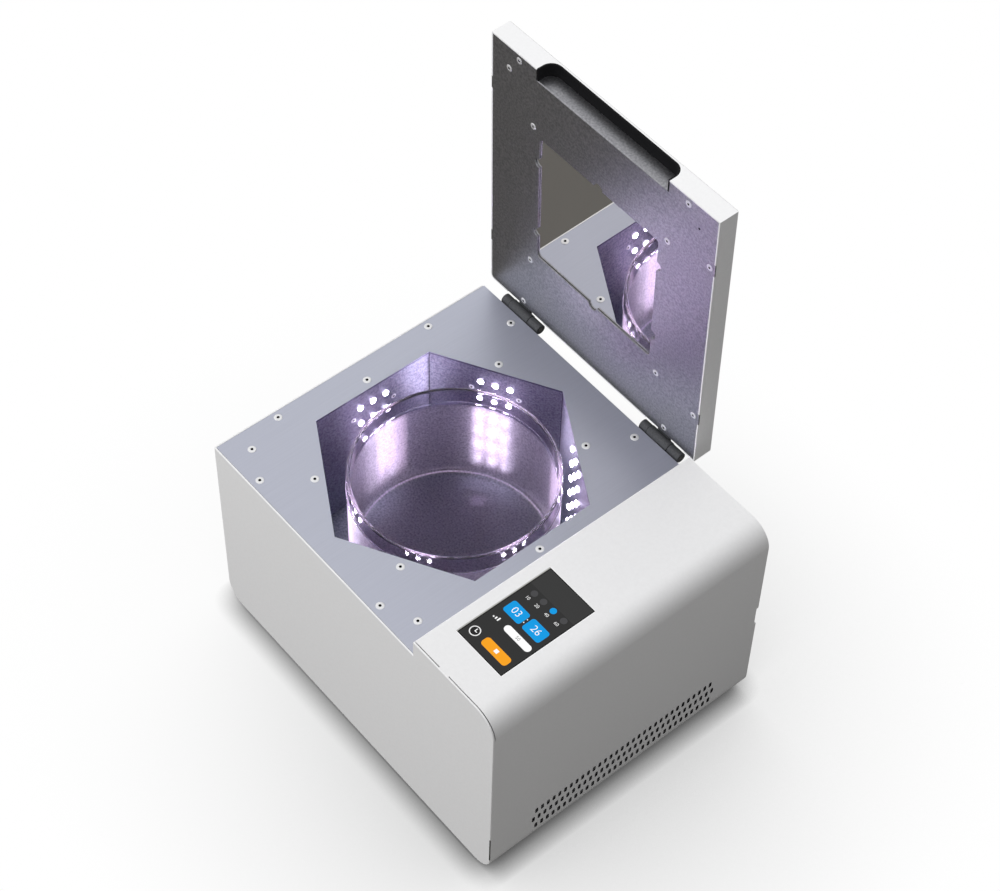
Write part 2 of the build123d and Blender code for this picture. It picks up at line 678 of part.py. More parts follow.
def make_lid_plate():
    """The brushed inner plate, with the mirror's window and a flange behind the fingers."""
    inset = LID_SHEET + PLATE_FIT
    plan = offset(lid_plan(), -inset)
    window = fillet(window_plan().vertices(), WINDOW_R)
    for x, y, _ in clip_places():
        window += Pos(x, y) * faceted(CLIP_NOTCH_R)
    notch_x0, notch_x1 = GRIP_X0 - GRIP_LINER_T - PLATE_FIT, GRIP_X1 + GRIP_LINER_T + PLATE_FIT
    plan -= window
    plan -= rectangle(notch_x0, notch_x1, LID_FRONT, GRIP_BACK)
    for x0, x1 in ((LID_X0, LID_X0 + inset), (LID_X1 - inset, LID_X1)):
        for tab in tab_rectangles(x0, x1):
            trimmed = tab.bounding_box()
            plan += rectangle(x0, x1, trimmed.min.Y + PLATE_FIT, trimmed.max.Y - PLATE_FIT)
    plate = upright(plan, LID_Z, PLATE_TOP)
    flange = rectangle(GRIP_BACK, GRIP_BACK + PLATE_T, LID_Z, LID_Z + GRIP_DEPTH)
    plate += facing_side(flange, notch_x0, notch_x1)
    bend = plate.edges().filter_by(Axis.X).sort_by_distance(((GRIP_X0 + GRIP_X1) / 2, GRIP_BACK, LID_Z))[0]
    return opened(fillet(bend, FLANGE_R))


def mirror_plan():
    return chamfer(window_plan(MIRROR_LAP).vertices(), MIRROR_CUT)


def make_mirror_seal():
    """A flat rubber frame between the plate and the mirror."""
    frame = mirror_plan() - offset(mirror_plan(), -SEAL_W)
    return opened(upright(frame, PLATE_TOP, MIRROR_Z))


def make_lid_mirror():
    return opened(upright(mirror_plan(), MIRROR_Z, MIRROR_Z + MIRROR_T))


def make_mirror_clips():
    """Stepped clips on the plate that hold the mirror down from behind."""
    rise = SEAL_T + MIRROR_T
    wall = MIRROR_LAP + PLATE_FIT
    profile = rectangle(wall, wall + CLIP_FOOT, 0, CLIP_T)
    profile += rectangle(wall, wall + CLIP_T, 0, rise + CLIP_T)
    profile += rectangle(MIRROR_LAP - CLIP_LAP, wall + CLIP_T, rise, rise + CLIP_T)
    clip = facing_front(profile, -CLIP_W / 2, CLIP_W / 2)
    return [opened(Pos(x, y, PLATE_TOP) * Rot(0, 0, angle) * clip) for x, y, angle in clip_places()]


def make_lid_standoffs():
    """Hexagonal posts that tie the plate to the tray's top."""
    across = (WINDOW_X0 - STANDOFF_OUT_X[0], WINDOW_X1 + STANDOFF_OUT_X[1])
    along = (WINDOW_Y1 + STANDOFF_OUT_V[0], WINDOW_Y0 - STANDOFF_OUT_V[1])
    places = [(x, y) for x in across for y in along]
    for x in (LEFT + FRONT_STANDOFF_X, CONSOLE_X - FRONT_STANDOFF_X):
        places.append((x, LID_FRONT + FRONT_STANDOFF_V))
    return [opened(post) for post in posts(places, STANDOFF_ACROSS, PLATE_TOP, LID_Z + LID_INNER)]


def make_grip_liner():
    """The moulded liner of the finger recess: ceiling and two rounded ends."""
    arch = grip_outline(GRIP_LINER_T) - grip_outline(0)
    return opened(facing_front(arch, LID_FRONT, GRIP_BACK))


def catch_magnets(z0, z1):
    magnet = Box(MAGNET_W, MAGNET_W, z1 - z0, align=(Align.CENTER, Align.CENTER, Align.MIN))
    return [Pos(x, FRONT + CATCH_Y, z0) * magnet for x in CATCH_X]


def make_lid_magnets():
    return [opened(magnet) for magnet in catch_magnets(PLATE_TOP, PLATE_TOP + MAGNET_T)]


def make_lid_sensor():
    """The lid switch, under the deck behind the right-hand magnet."""
    x, y0 = CATCH_X[1], FRONT + CATCH_Y + MAGNET_W / 2 + DECK_FIT
    return block(x - SENSOR_W / 2, x + SENSOR_W / 2, y0, y0 + SENSOR_L, DECK_BOTTOM - SENSOR_T, DECK_BOTTOM)


# ---- Console and electronics ------------------------------------------------------------------


def make_display_glass():
    return upright(screen_face(0, SCREEN_R), CONSOLE - SHEET, CONSOLE)


def make_display_module():
    y0 = FRONT + SCREEN_Y
    return block(
        SCREEN_X - MODULE_LAP_X,
        SCREEN_X + SCREEN_W + MODULE_LAP_X,
        y0 - MODULE_LAP_Y,
        y0 + SCREEN_L + MODULE_LAP_Y,
        CONSOLE - SHEET - MODULE_T,
        CONSOLE - SHEET,
    )


def make_control_board():
    """The main board under the chamber, with the LED drivers' inductors and connectors."""
    x0, y0, z0 = CONTROL_CORNER[0], CONTROL_CORNER[1], INSIDE + BOARD_STAND_H
    board = block(x0, x0 + CONTROL_W, y0, y0 + CONTROL_L, z0, z0 + BOARD_T)
    top = z0 + BOARD_T
    half, pitch = INDUCTOR_W / 2, CONTROL_W / len(SIDES)
    for place in range(len(SIDES)):
        x = x0 + pitch / 2 + place * pitch
        board += block(x - half, x + half, y0 + INDUCTOR_W, y0 + 2 * INDUCTOR_W, top, top + half)
    y1 = y0 + CONTROL_L - PLUG_W
    board += block(x0 + PLUG_W, x0 + CONTROL_W - PLUG_W, y1 - PLUG_W, y1, top, top + PLUG_W)
    return board


def make_board_standoffs():
    x0, y0 = CONTROL_CORNER
    edge = BOARD_STAND_ACROSS
    across, along = (x0 + edge, x0 + CONTROL_W - edge), (y0 + edge, y0 + CONTROL_L - edge)
    places = [(x, y) for x in across for y in along]
    return posts(places, BOARD_STAND_ACROSS, INSIDE, INSIDE + BOARD_STAND_H)


def make_power_supply():
    """A switching supply: a folded channel with its board, transformer and terminals."""
    x0, y0, z0 = RIGHT - SUPPLY_IN - SUPPLY_W, FRONT + SUPPLY_Y, INSIDE
    x1, y1, z1 = x0 + SUPPLY_W, y0 + SUPPLY_L, z0 + SUPPLY_H
    case = block(x0, x1, y0, y1, z0, z0 + SUPPLY_T)
    case += block(x0, x0 + SUPPLY_T, y0, y1, z0, z1)
    case += block(x1 - SUPPLY_T, x1, y0, y1, z0, z1)
    core = CORE_W
    case += block(x0 + core, x0 + 2 * core, y0 + core, y0 + 2 * core, z0, z0 + core)
    case += block(x1 - 2 * core, x1 - core, y1 - 2 * core, y1 - core, z0, z0 + core)
    return case


# ---- Rear fittings ----------------------------------------------------------------------------


def fan_axis_place():
    return REAR_CX, UNDER + FAN_Z


def make_fan_frame():
    """A square axial-fan frame whose motor plate and struts carry the rotor's bearing."""
    x, z = fan_axis_place()
    y1 = BACK - PANEL_T
    y0 = y1 - FAN_T
    square = Pos(x, z) * (Rectangle(FAN, FAN) - faceted(FAN_BORE_R, FLAT_COUNT))
    frame = facing_front(square, y0, y1)
    plate = faceted(FAN_HUB_R, FLAT_COUNT)
    for angle in (0, 90):
        plate += Rot(0, 0, angle) * Rectangle(2 * FAN_BORE_R + FAN_STRUT_W, FAN_STRUT_W)
    plate -= faceted(FAN_SHAFT_R + FAN_SHAFT_FIT)
    return frame + facing_front(Pos(x, z) * plate, y0, y0 + FAN_PLATE_T)


def make_fan_rotor():
    """Hub, shaft and pitched blades."""
    x, z = fan_axis_place()
    y1 = BACK - PANEL_T
    y0 = y1 - FAN_T
    hub0, hub1 = y0 + FAN_PLATE_T + FAN_TIP_GAP / 2, y1 - FAN_TIP_GAP
    rotor = facing_front(faceted(FAN_HUB_R, FLAT_COUNT), hub0, hub1)
    rotor += facing_front(faceted(FAN_SHAFT_R, FLAT_COUNT), y0, hub0)
    root, tip = 0.9 * FAN_HUB_R, FAN_BORE_R - FAN_TIP_GAP
    blade = Box(tip - root, FAN_BLADE_T, FAN_BLADE_CHORD)
    blade = Pos((root + tip) / 2, (hub0 + hub1) / 2, 0) * Rot(90 - FAN_BLADE_PITCH, 0, 0) * blade
    for number in range(FAN_BLADES):
        rotor += Rot(0, 360 / FAN_BLADES * number, 0) * blade
    return Pos(x, 0, z) * rotor


def make_power_inlet():
    """A mains inlet with its rim outside the panel, its socket and its three blades."""
    z = UNDER + INLET_Z
    place = Pos(REAR_CX, z)
    rim = chamfer(Rectangle(INLET_W + 2 * INLET_RIM, INLET_H + INLET_RIM).vertices(), INLET_RIM / 2)
    inlet = facing_front(place * rim, BACK, BACK + INLET_RIM_T)
    inlet += facing_front(place * Rectangle(INLET_W, INLET_H), BACK - INLET_D, BACK)
    socket = Rectangle(SOCKET_W, SOCKET_H)
    upper = socket.vertices().group_by(Axis.Y)[-1]
    socket = chamfer(upper, SOCKET_H / 4)
    mouth = BACK + INLET_RIM_T
    inlet -= facing_front(place * socket, mouth - SOCKET_D, mouth)
    blades = [(0, BLADE_RISE), (-BLADE_SIDE, -BLADE_RISE), (BLADE_SIDE, -BLADE_RISE)]
    for dx, dz in blades:
        blade = Pos(dx, dz) * Rectangle(BLADE_W, BLADE_H)
        inlet += facing_front(place * blade, mouth - SOCKET_D, mouth - SOCKET_D + BLADE_L)
    return inlet


def rocker_pivot():
    return BACK - ROCKER_PIVOT_IN, UNDER + SWITCH_Z


def make_switch_housing():
    """The power switch's frame, snapped into the rear panel, with bearings for the rocker."""
    z = UNDER + SWITCH_Z
    place = Pos(REAR_CX, z)
    rim = Rectangle(SWITCH_W + 2 * SWITCH_RIM, SWITCH_H + 2 * SWITCH_RIM)
    housing = facing_front(place * rim, BACK, BACK + SWITCH_RIM_T)
    housing += facing_front(place * Rectangle(SWITCH_W, SWITCH_H), BACK - SWITCH_D, BACK)
    cavity = place * Rectangle(SWITCH_W - 2 * SWITCH_WALL, SWITCH_H - 2 * SWITCH_WALL)
    housing -= facing_front(cavity, BACK - SWITCH_D + SWITCH_WALL, BACK + SWITCH_RIM_T)
    bearing = Pos(*rocker_pivot()) * faceted(ROCKER_PIVOT_R + ROCKER_PIVOT_FIT)
    half = SWITCH_W / 2
    return housing - facing_side(bearing, REAR_CX - half, REAR_CX + half)


def make_switch_rocker():
    """The rocker: two shallow faces that meet over its pivot, tilted to on."""
    y, z = rocker_pivot()
    half_h = SWITCH_H / 2 - SWITCH_WALL - 3 * ROCKER_GAP
    half_w = SWITCH_W / 2 - SWITCH_WALL - ROCKER_GAP
    valley, root = ROCKER_RISE, -ROCKER_RISE
    peak = valley + half_h * math.tan(math.radians(ROCKER_TILT_DEG))
    corners = [(root, -half_h / 2), (peak, -half_h), (valley, 0), (peak, half_h), (root, half_h / 2)]
    face = Polygon(*corners, align=None)
    rocker = facing_side(face, -half_w, half_w)
    stub = half_w + ROCKER_GAP + SWITCH_WALL / 2
    rocker += facing_side(faceted(ROCKER_PIVOT_R, FLAT_COUNT), -stub, stub)
    return Pos(REAR_CX, y, z) * Rot(ROCKER_TILT_DEG, 0, 0) * rocker


# ---- All sub-parts ----------------------------------------------------------------------------


def build():
    parts = {
        "cabinet_wrap": make_cabinet_wrap(),
        "front_panel": make_front_panel(),
        "rear_panel": make_rear_panel(),
        "deck_plate": make_deck_plate(),
        "deck_rails": make_deck_rails(),
        "rubber_feet": make_feet(),
        "led_heat_sinks": make_led_sinks(),
        "chamber_floor": make_chamber_floor(),
        "chamber_posts": make_chamber_posts(),
        "glass_dish": make_glass_dish(),
        "dish_rest": make_dish_rest(),
        "dish_pads": make_dish_pads(),
        "hinge_body_leaves": [body_leaf(span) for span in hinge_spans()],
        "hinge_lid_leaves": [lid_leaf(span) for span in hinge_spans()],
        "hinge_pins": [hinge_pin(span) for span in hinge_spans()],
        "lid_shell": make_lid_shell(),
        "lid_plate": make_lid_plate(),
        "mirror_seal": make_mirror_seal(),
        "lid_mirror": make_lid_mirror(),
        "mirror_clips": make_mirror_clips(),
        "lid_standoffs": make_lid_standoffs(),
        "grip_liner": make_grip_liner(),
        "lid_magnets": make_lid_magnets(),
        "catch_magnets": catch_magnets(DECK_BOTTOM - MAGNET_T, DECK_BOTTOM),
        "lid_sensor": make_lid_sensor(),
        "display_glass": make_display_glass(),
        "display_module": make_display_module(),
        "control_board": make_control_board(),
        "board_standoffs": make_board_standoffs(),
        "power_supply": make_power_supply(),
        "fan_frame": make_fan_frame(),
        "fan_rotor": make_fan_rotor(),
        "power_inlet": make_power_inlet(),
        "switch_housing": make_switch_housing(),
        "switch_rocker": make_switch_rocker(),
    }
    for side, angle in SIDES.items():
        parts["chamber_wall_" + side] = make_chamber_wall(angle)
        parts["led_board_" + side] = make_led_board(angle)
    return parts


os.makedirs("parts", exist_ok=True)
for name, shape in build().items():
    solids = ShapeList(shape).solids() if isinstance(shape, list) else shape.solids()
    export_step(Compound(list(solids)), os.path.join("parts", name + ".step"))
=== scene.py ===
import json
import math

import bmesh
import bpy
from mathutils import Matrix, Vector


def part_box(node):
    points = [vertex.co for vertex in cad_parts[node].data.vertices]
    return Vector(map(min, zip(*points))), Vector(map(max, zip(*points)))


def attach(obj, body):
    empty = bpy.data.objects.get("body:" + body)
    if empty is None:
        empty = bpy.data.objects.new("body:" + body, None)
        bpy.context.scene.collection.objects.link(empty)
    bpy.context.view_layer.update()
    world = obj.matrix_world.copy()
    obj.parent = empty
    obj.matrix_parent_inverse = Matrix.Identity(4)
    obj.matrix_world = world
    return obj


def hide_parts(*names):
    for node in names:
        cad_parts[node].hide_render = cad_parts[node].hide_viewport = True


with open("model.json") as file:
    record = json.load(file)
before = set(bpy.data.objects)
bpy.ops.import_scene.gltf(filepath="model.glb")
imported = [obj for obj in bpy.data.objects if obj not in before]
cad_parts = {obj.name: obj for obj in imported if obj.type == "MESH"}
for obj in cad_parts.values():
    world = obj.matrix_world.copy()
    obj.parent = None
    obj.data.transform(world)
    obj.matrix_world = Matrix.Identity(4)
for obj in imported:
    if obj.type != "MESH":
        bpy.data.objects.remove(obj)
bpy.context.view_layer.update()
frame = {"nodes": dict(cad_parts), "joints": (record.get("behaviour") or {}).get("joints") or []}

# A bench-top light curing unit: white powder-coated cabinet, satin deck with a six-sided LED
# chamber, a glass dish, a mirrored lid and a console with a display. Metres, X right, Y back, Z up.

MM = 0.001

# ---- Camera and light -------------------------------------------------------------------------

CAMERA_PLACE = (0.9258, -0.7963, 1.8325)
CAMERA_TURN = 48.907  # degrees to the left of straight back
CAMERA_DROP = 51.827  # degrees below level
CAMERA_ROLL = 1.782
CAMERA_LENS = 90.15  # millimetres on a 36 mm sensor

ROOM_LIGHT = 0.30  # soft light from all round
ROOM_IN_METAL = 0.80  # what polished and brushed metal sees above the horizon
FLOOR_REACH = 4.0  # from the middle of the floor to its edges
# The floor's shadow is painted from occlusion, not cast by the lamps.
SHADOW_WIDTH = 0.26  # of the soft shadow round the unit
SHADOW_LEFT, SHADOW_RIGHT = 0.11, 0.68  # how dark the soft shadow is on either side
SHADOW_SIDES = (-0.2, 0.2)  # where those two hold
CONTACT_WIDTH = 0.022  # of the dark line under the unit's edges
CONTACT_DARKNESS = 1.4
SOFTBOX_AIM = (0, 0, 0.2)
SOFTBOXES = (  # name, where from, width, distance, watts
    ("front_softbox", (-0.40, -0.66, 0.62), 1.8, 4.2, 135.0),
    ("side_softbox", (1.0, 0.25, 0.35), 1.2, 2.6, 5.5),
    ("top_softbox", (0.0, 0.35, 1.0), 0.5, 1.1, 2.0),
)

# ---- Sizes that the frame does not give -------------------------------------------------------

LID_OPENING = 88.93  # degrees from closed to rest
LID_HINGE_EDGE = 285.25 * MM  # of the closed lid, from the cabinet's front
LID_GAP = 1.17 * MM  # between the deck and the closed lid's inner plate

CHAMBER_SIDES = (0, 60, 120, 180, 240, 300)
LED_COLUMNS = (-13.4 * MM, 0.0, 13.4 * MM)
LED_ROWS = 6
LED_PITCH = 20.0 * MM
LED_TOP = 20.0 * MM  # the first row, below the deck
LENS_R = 2.7 * MM
LENS_RISE = 1.1 * MM
LENS_SIDES = 16
BOARD_SCREWS = 21.5 * MM  # either side of the board's middle
BOARD_SCREW_ROWS = (30.0 * MM, 110.0 * MM)  # below the deck
WALL_SEAM = 0.25 * MM  # half the width of the open mitre
WALL_SEAM_TOP = 2.0 * MM  # below the deck

SCREW_R = 3.7 * MM
SCREW_RISE = 0.5 * MM
SCREW_SIDES = 18
SOCKET_R = 1.25 * MM
BOARD_SCREW_SIZE = 0.7  # beside a deck screw
LID_SCREW_SIZE = 0.85
SENSOR_HOLE_SIZE = 0.3
FAN_SCREWS = 35.75 * MM  # from the fan's middle, as on any 80 mm fan
REAR_SCREWS = (  # X and Z
    (-168, 20),
    (-168, 100),
    (-168, 185),
    (-50, 185),
    (-50, 20),
    (60, 20),
    (60, 185),
    (168, 50),
)
DECK_SCREW_RING = 112.3 * MM  # six screws round the chamber's middle
DECK_SCREWS = (  # from the cabinet's front left corner
    (7.7, 59.7),
    (7.7, 219.0),
    (51.1, 9.0),
    (209.6, 9.0),
    (49.1, 276.5),
    (208.8, 276.3),
    (21.2, 23.0),
    (239.5, 23.0),
)
LID_SCREWS = (  # from the cabinet's left side, and from the lid's hinge-side edge
    (34.0, 280.1),
    (227.9, 279.6),
    (22.2, 263.7),
    (52.1, 223.0),
    (209.3, 223.2),
    (51.9, 65.9),
    (209.0, 65.1),
    (255.6, 233.4),
    (254.8, 54.6),
    (44.3, 6.7),
    (223.5, 7.7),
)
LID_SENSOR_HOLE = (241.1, 263.9)

LID_KNUCKLES = ((-148.1 * MM, -123.1 * MM), (30.2 * MM, 55.2 * MM))  # their ends in X
BARREL_R = 4.65 * MM
SLEEVE_T = 0.45 * MM
JOINT_W = 0.5 * MM
JOINT_T = 0.5 * MM
JOINT_PROUD = 0.08 * MM
BAND_SIDES = 32
BAND_EDGE = 0.12 * MM
ROUND_FLAT = 0.3 * MM  # a narrow flat beside each round keeps the straight walls' shading straight

DISH_WALL = 3.4 * MM
DISH_BASE = 5.0 * MM
DISH_HEEL_R = 9.0 * MM
DISH_INNER_R = 6.0 * MM
DISH_RIM_R = 1.6 * MM
DISH_STEPS = 192
BEAD_H = 98.0 * MM  # this and the next two heights are above the dish's underside
FROST_TOP = 95.5 * MM
# The bright line round the dish's floor is a painted highlight.
PAINTED_GLINT_H = 7.0 * MM
PAINTED_GLINT_HALF = 0.6 * MM  # half the height of the bright line round the dish's floor
BEAD_R = 0.75 * MM

VENT_W = 3.2 * MM
VENT_H = 7.1 * MM
VENT_PITCH = 6.17 * MM
VENT_ROW_PITCH = 11.75 * MM
VENT_COUNTS = (32, 33, 32)
VENT_LOW = 30.0 * MM  # the lowest row's middle
VENT_BACK = 1.5 * MM  # the rows' middle, behind the cabinet's
SHEET = 1.2 * MM

INK = 0.04 * MM  # thickness of each layer of the display's picture
STROKE_THINNER = 0.012  # of a digit's size, off each side of its strokes

# ---- Looks that are not one material's alone --------------------------------------------------

DISH_FROST = 0.54
DISH_IOR = 1.33
# Painted light in the dish's glass: emission for a glow before each LED board and a highlight line round its
# floor.
PAINTED_BOARD_GLOW = 0.35  # of the frosted wall before each LED board
PAINTED_GLINT = 0.3
FACING_FROM, FACING_TO = 0.15, 0.8  # cosine at which that glow starts, and is full
LED_STRENGTH = 65.0
# Painted shade on the cut edges inside the side vents.
PAINTED_VENT_SHADE = "#161618"
# Painted shade on the deck's cut edges.
DECK_EDGE_SHADE = "#6A6C7C"
BEND_CREASE = 0.45  # radians; a sharper bend stays an edge

# ---- Places read from the frame ---------------------------------------------------------------

DECK_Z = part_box("deck_plate")[1].z
WRAP_LOW, WRAP_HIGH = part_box("cabinet_wrap")
CORNER = Vector((WRAP_LOW.x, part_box("front_panel")[0].y, 0))
FLOOR_LOW, FLOOR_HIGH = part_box("chamber_floor")
CHAMBER = (FLOOR_LOW + FLOOR_HIGH) / 2
CHAMBER_WALL_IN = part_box("chamber_wall_right")[0].x - CHAMBER.x
DISH_LOW, DISH_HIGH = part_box("glass_dish")
SCREEN_LOW, SCREEN_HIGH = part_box("display_glass")
HINGE = Vector(next(j["pos_m"] for j in frame["joints"] if j["name"] == "lid_hinge"))
LID_SWING = Matrix.Rotation(math.radians(-LID_OPENING), 3, "X")
LID_FACING = LID_SWING @ Vector((0, 0, -1))
LID_EDGE_Y = CORNER.y + LID_HINGE_EDGE
LID_FACE_Z = DECK_Z + LID_GAP


def opened(point):
    """A place on the closed lid, swung to where the lid rests open."""
    return HINGE + LID_SWING @ (Vector(point) - HINGE)


# ---- Small helpers ----------------------------------------------------------------------------


def linear(colour):
    """An sRGB hex colour as linear RGBA."""
    channels = [int(colour[i : i + 2], 16) / 255 for i in (1, 3, 5)]
    return [c / 12.92 if c <= 0.04045 else ((c + 0.055) / 1.055) ** 2.4 for c in channels] + [1.0]


def add(tree, kind, inputs=(), **settings):
    """Adds a node; each input is a value or the output that feeds it."""
    node = tree.nodes.new(kind)
    for name, value in settings.items():
        setattr(node, name, value)
    for key, value in dict(inputs).items():
        if isinstance(value, bpy.types.NodeSocket):
            tree.links.new(value, node.inputs[key])
        else:
            node.inputs[key].default_value = value
    return node


def new_finish(name):
    """An empty material and its node tree."""
    material = bpy.data.materials.new(name)
    material.use_nodes = True
    material.node_tree.nodes.clear()
    return material, material.node_tree


def drifting(tree, per_metre, light, dark, stretch=(1, 1, 1)):
    """Two shades that drift into each other: their colour, and the pattern behind it.

    At 900 per metre the pattern is about 1 mm wide, at 550 about 2 mm."""
    where = add(tree, "ShaderNodeTexCoord")
    drawn = add(tree, "ShaderNodeMapping", {"Vector": where.outputs["Object"], "Scale": stretch})
    cells = add(
        tree, "ShaderNodeTexNoise", {"Vector": drawn.outputs[0], "Scale": per_metre, "Detail": 2.0}
    )
    share = add(
        tree, "ShaderNodeMapRange", {"Value": cells.outputs[0], "From Min": 0.3, "From Max": 0.7}
    )
    shade = add(
        tree,
        "ShaderNodeMix",
        {"Factor": share.outputs[0], "A": linear(dark), "B": linear(light)},
        data_type="RGBA",
    )
    return shade.outputs["Result"], cells.outputs[0]


# ---- Materials --------------------------------------------------------------------------------


def powder_coat():
    """Powder-coated steel: white, semi-gloss, with a faint orange peel about 2.5 mm wide.

    The cut edges inside the side vents are painted dark, as painted shade for the cabinet's shadow there."""
    material, tree = new_finish("white_powder_coat")
    colour, peel = drifting(tree, 400.0, "#F3F3F4", "#F0F0F1")
    relief = add(tree, "ShaderNodeBump", {"Height": peel, "Distance": 0.00002})
    # Painted shade: a mask over the sheet's cut edges in the vent rows gives them a dark colour.
    where = add(tree, "ShaderNodeTexCoord")
    place = add(tree, "ShaderNodeSeparateXYZ", {"Vector": where.outputs["Object"]})
    middle = VENT_LOW + VENT_ROW_PITCH
    band = add(
        tree,
        "ShaderNodeMath",
        {0: place.outputs["Z"], 1: middle, 2: VENT_ROW_PITCH + VENT_H / 2 + MM},
        operation="COMPARE",
    )
    sheet = add(
        tree,
        "ShaderNodeMath",
        {0: place.outputs["X"], 1: WRAP_HIGH.x - SHEET / 2, 2: SHEET / 2 - 0.05 * MM},
        operation="COMPARE",
    )
    vent_edge_shade = add(tree, "ShaderNodeMath", {0: band.outputs[0], 1: sheet.outputs[0]}, operation="MULTIPLY")
    shaded = add(
        tree,
        "ShaderNodeMix",
        {"Factor": vent_edge_shade.outputs[0], "A": colour, "B": linear(PAINTED_VENT_SHADE)},
        data_type="RGBA",
    )
    paint = add(
        tree,
        "ShaderNodeBsdfPrincipled",
        {
            "Base Color": shaded.outputs["Result"],
            "Roughness": 0.46,
            "Normal": relief.outputs[0],
            "Coat Weight": 0.1,
            "Coat Roughness": 0.25,
        },
    )
    add(tree, "ShaderNodeOutputMaterial", {"Surface": paint.outputs[0]})
    return material


def satin_steel(name, light, dark, per_metre, roughness, depth, stretch=(1, 1, 1), edge_shade_below=None):
    """Satin stainless sheet: a fine grain that breaks up what it mirrors.

    Below the given height lie its cut edges, which are painted dark as shade."""
    material, tree = new_finish(name)
    colour, grain = drifting(tree, per_metre, light, dark, stretch)
    # Painted shade: the faces below that height are the sheet's cut edges and take a dark colour.
    if edge_shade_below is not None:
        where = add(tree, "ShaderNodeTexCoord")
        height = add(tree, "ShaderNodeSeparateXYZ", {"Vector": where.outputs["Object"]})
        face = add(
            tree,
            "ShaderNodeMapRange",
            {"Value": height.outputs["Z"], "From Min": edge_shade_below - 0.1 * MM, "From Max": edge_shade_below},
        )
        edge_shaded = add(
            tree,
            "ShaderNodeMix",
            {"Factor": face.outputs[0], "A": linear(DECK_EDGE_SHADE), "B": colour},
            data_type="RGBA",
        )
        colour = edge_shaded.outputs["Result"]
    relief = add(tree, "ShaderNodeBump", {"Height": grain, "Distance": depth})
    steel = add(
        tree,
        "ShaderNodeBsdfPrincipled",
        {"Base Color": colour, "Metallic": 1.0, "Roughness": roughness, "Normal": relief.outputs[0]},
    )
    add(tree, "ShaderNodeOutputMaterial", {"Surface": steel.outputs[0]})
    return material


def silvered_mirror():
    """Float glass silvered behind: a clean reflection, barely grey."""
    material, tree = new_finish("silvered_mirror")
    colour, _ = drifting(tree, 6.0, "#F1EFEE", "#ECEAE9")
    glass = add(
        tree, "ShaderNodeBsdfPrincipled", {"Base Color": colour, "Metallic": 1.0, "Roughness": 0.004}
    )
    add(tree, "ShaderNodeOutputMaterial", {"Surface": glass.outputs[0]})
    return material


def moulded_plastic(name, colour, lighter, roughness, gloss=0.5):
    """Moulded plastic with a spark-eroded texture, about 1 mm in the drawing."""
    material, tree = new_finish(name)
    shade, texture = drifting(tree, 900.0, lighter, colour)
    relief = add(tree, "ShaderNodeBump", {"Height": texture, "Distance": 0.00003})
    plastic = add(
        tree,
        "ShaderNodeBsdfPrincipled",
        {
            "Base Color": shade,
            "Roughness": roughness,
            "Specular IOR Level": gloss,
            "Normal": relief.outputs[0],
        },
    )
    add(tree, "ShaderNodeOutputMaterial", {"Surface": plastic.outputs[0]})
    return material


def plated_metal(name, colour, darker, roughness, metallic=1.0):
    """Plated or ground small metal parts, slightly cloudy."""
    material, tree = new_finish(name)
    shade, _ = drifting(tree, 300.0, colour, darker)
    metal = add(
        tree, "ShaderNodeBsdfPrincipled", {"Base Color": shade, "Metallic": metallic, "Roughness": roughness}
    )
    add(tree, "ShaderNodeOutputMaterial", {"Surface": metal.outputs[0]})
    return material


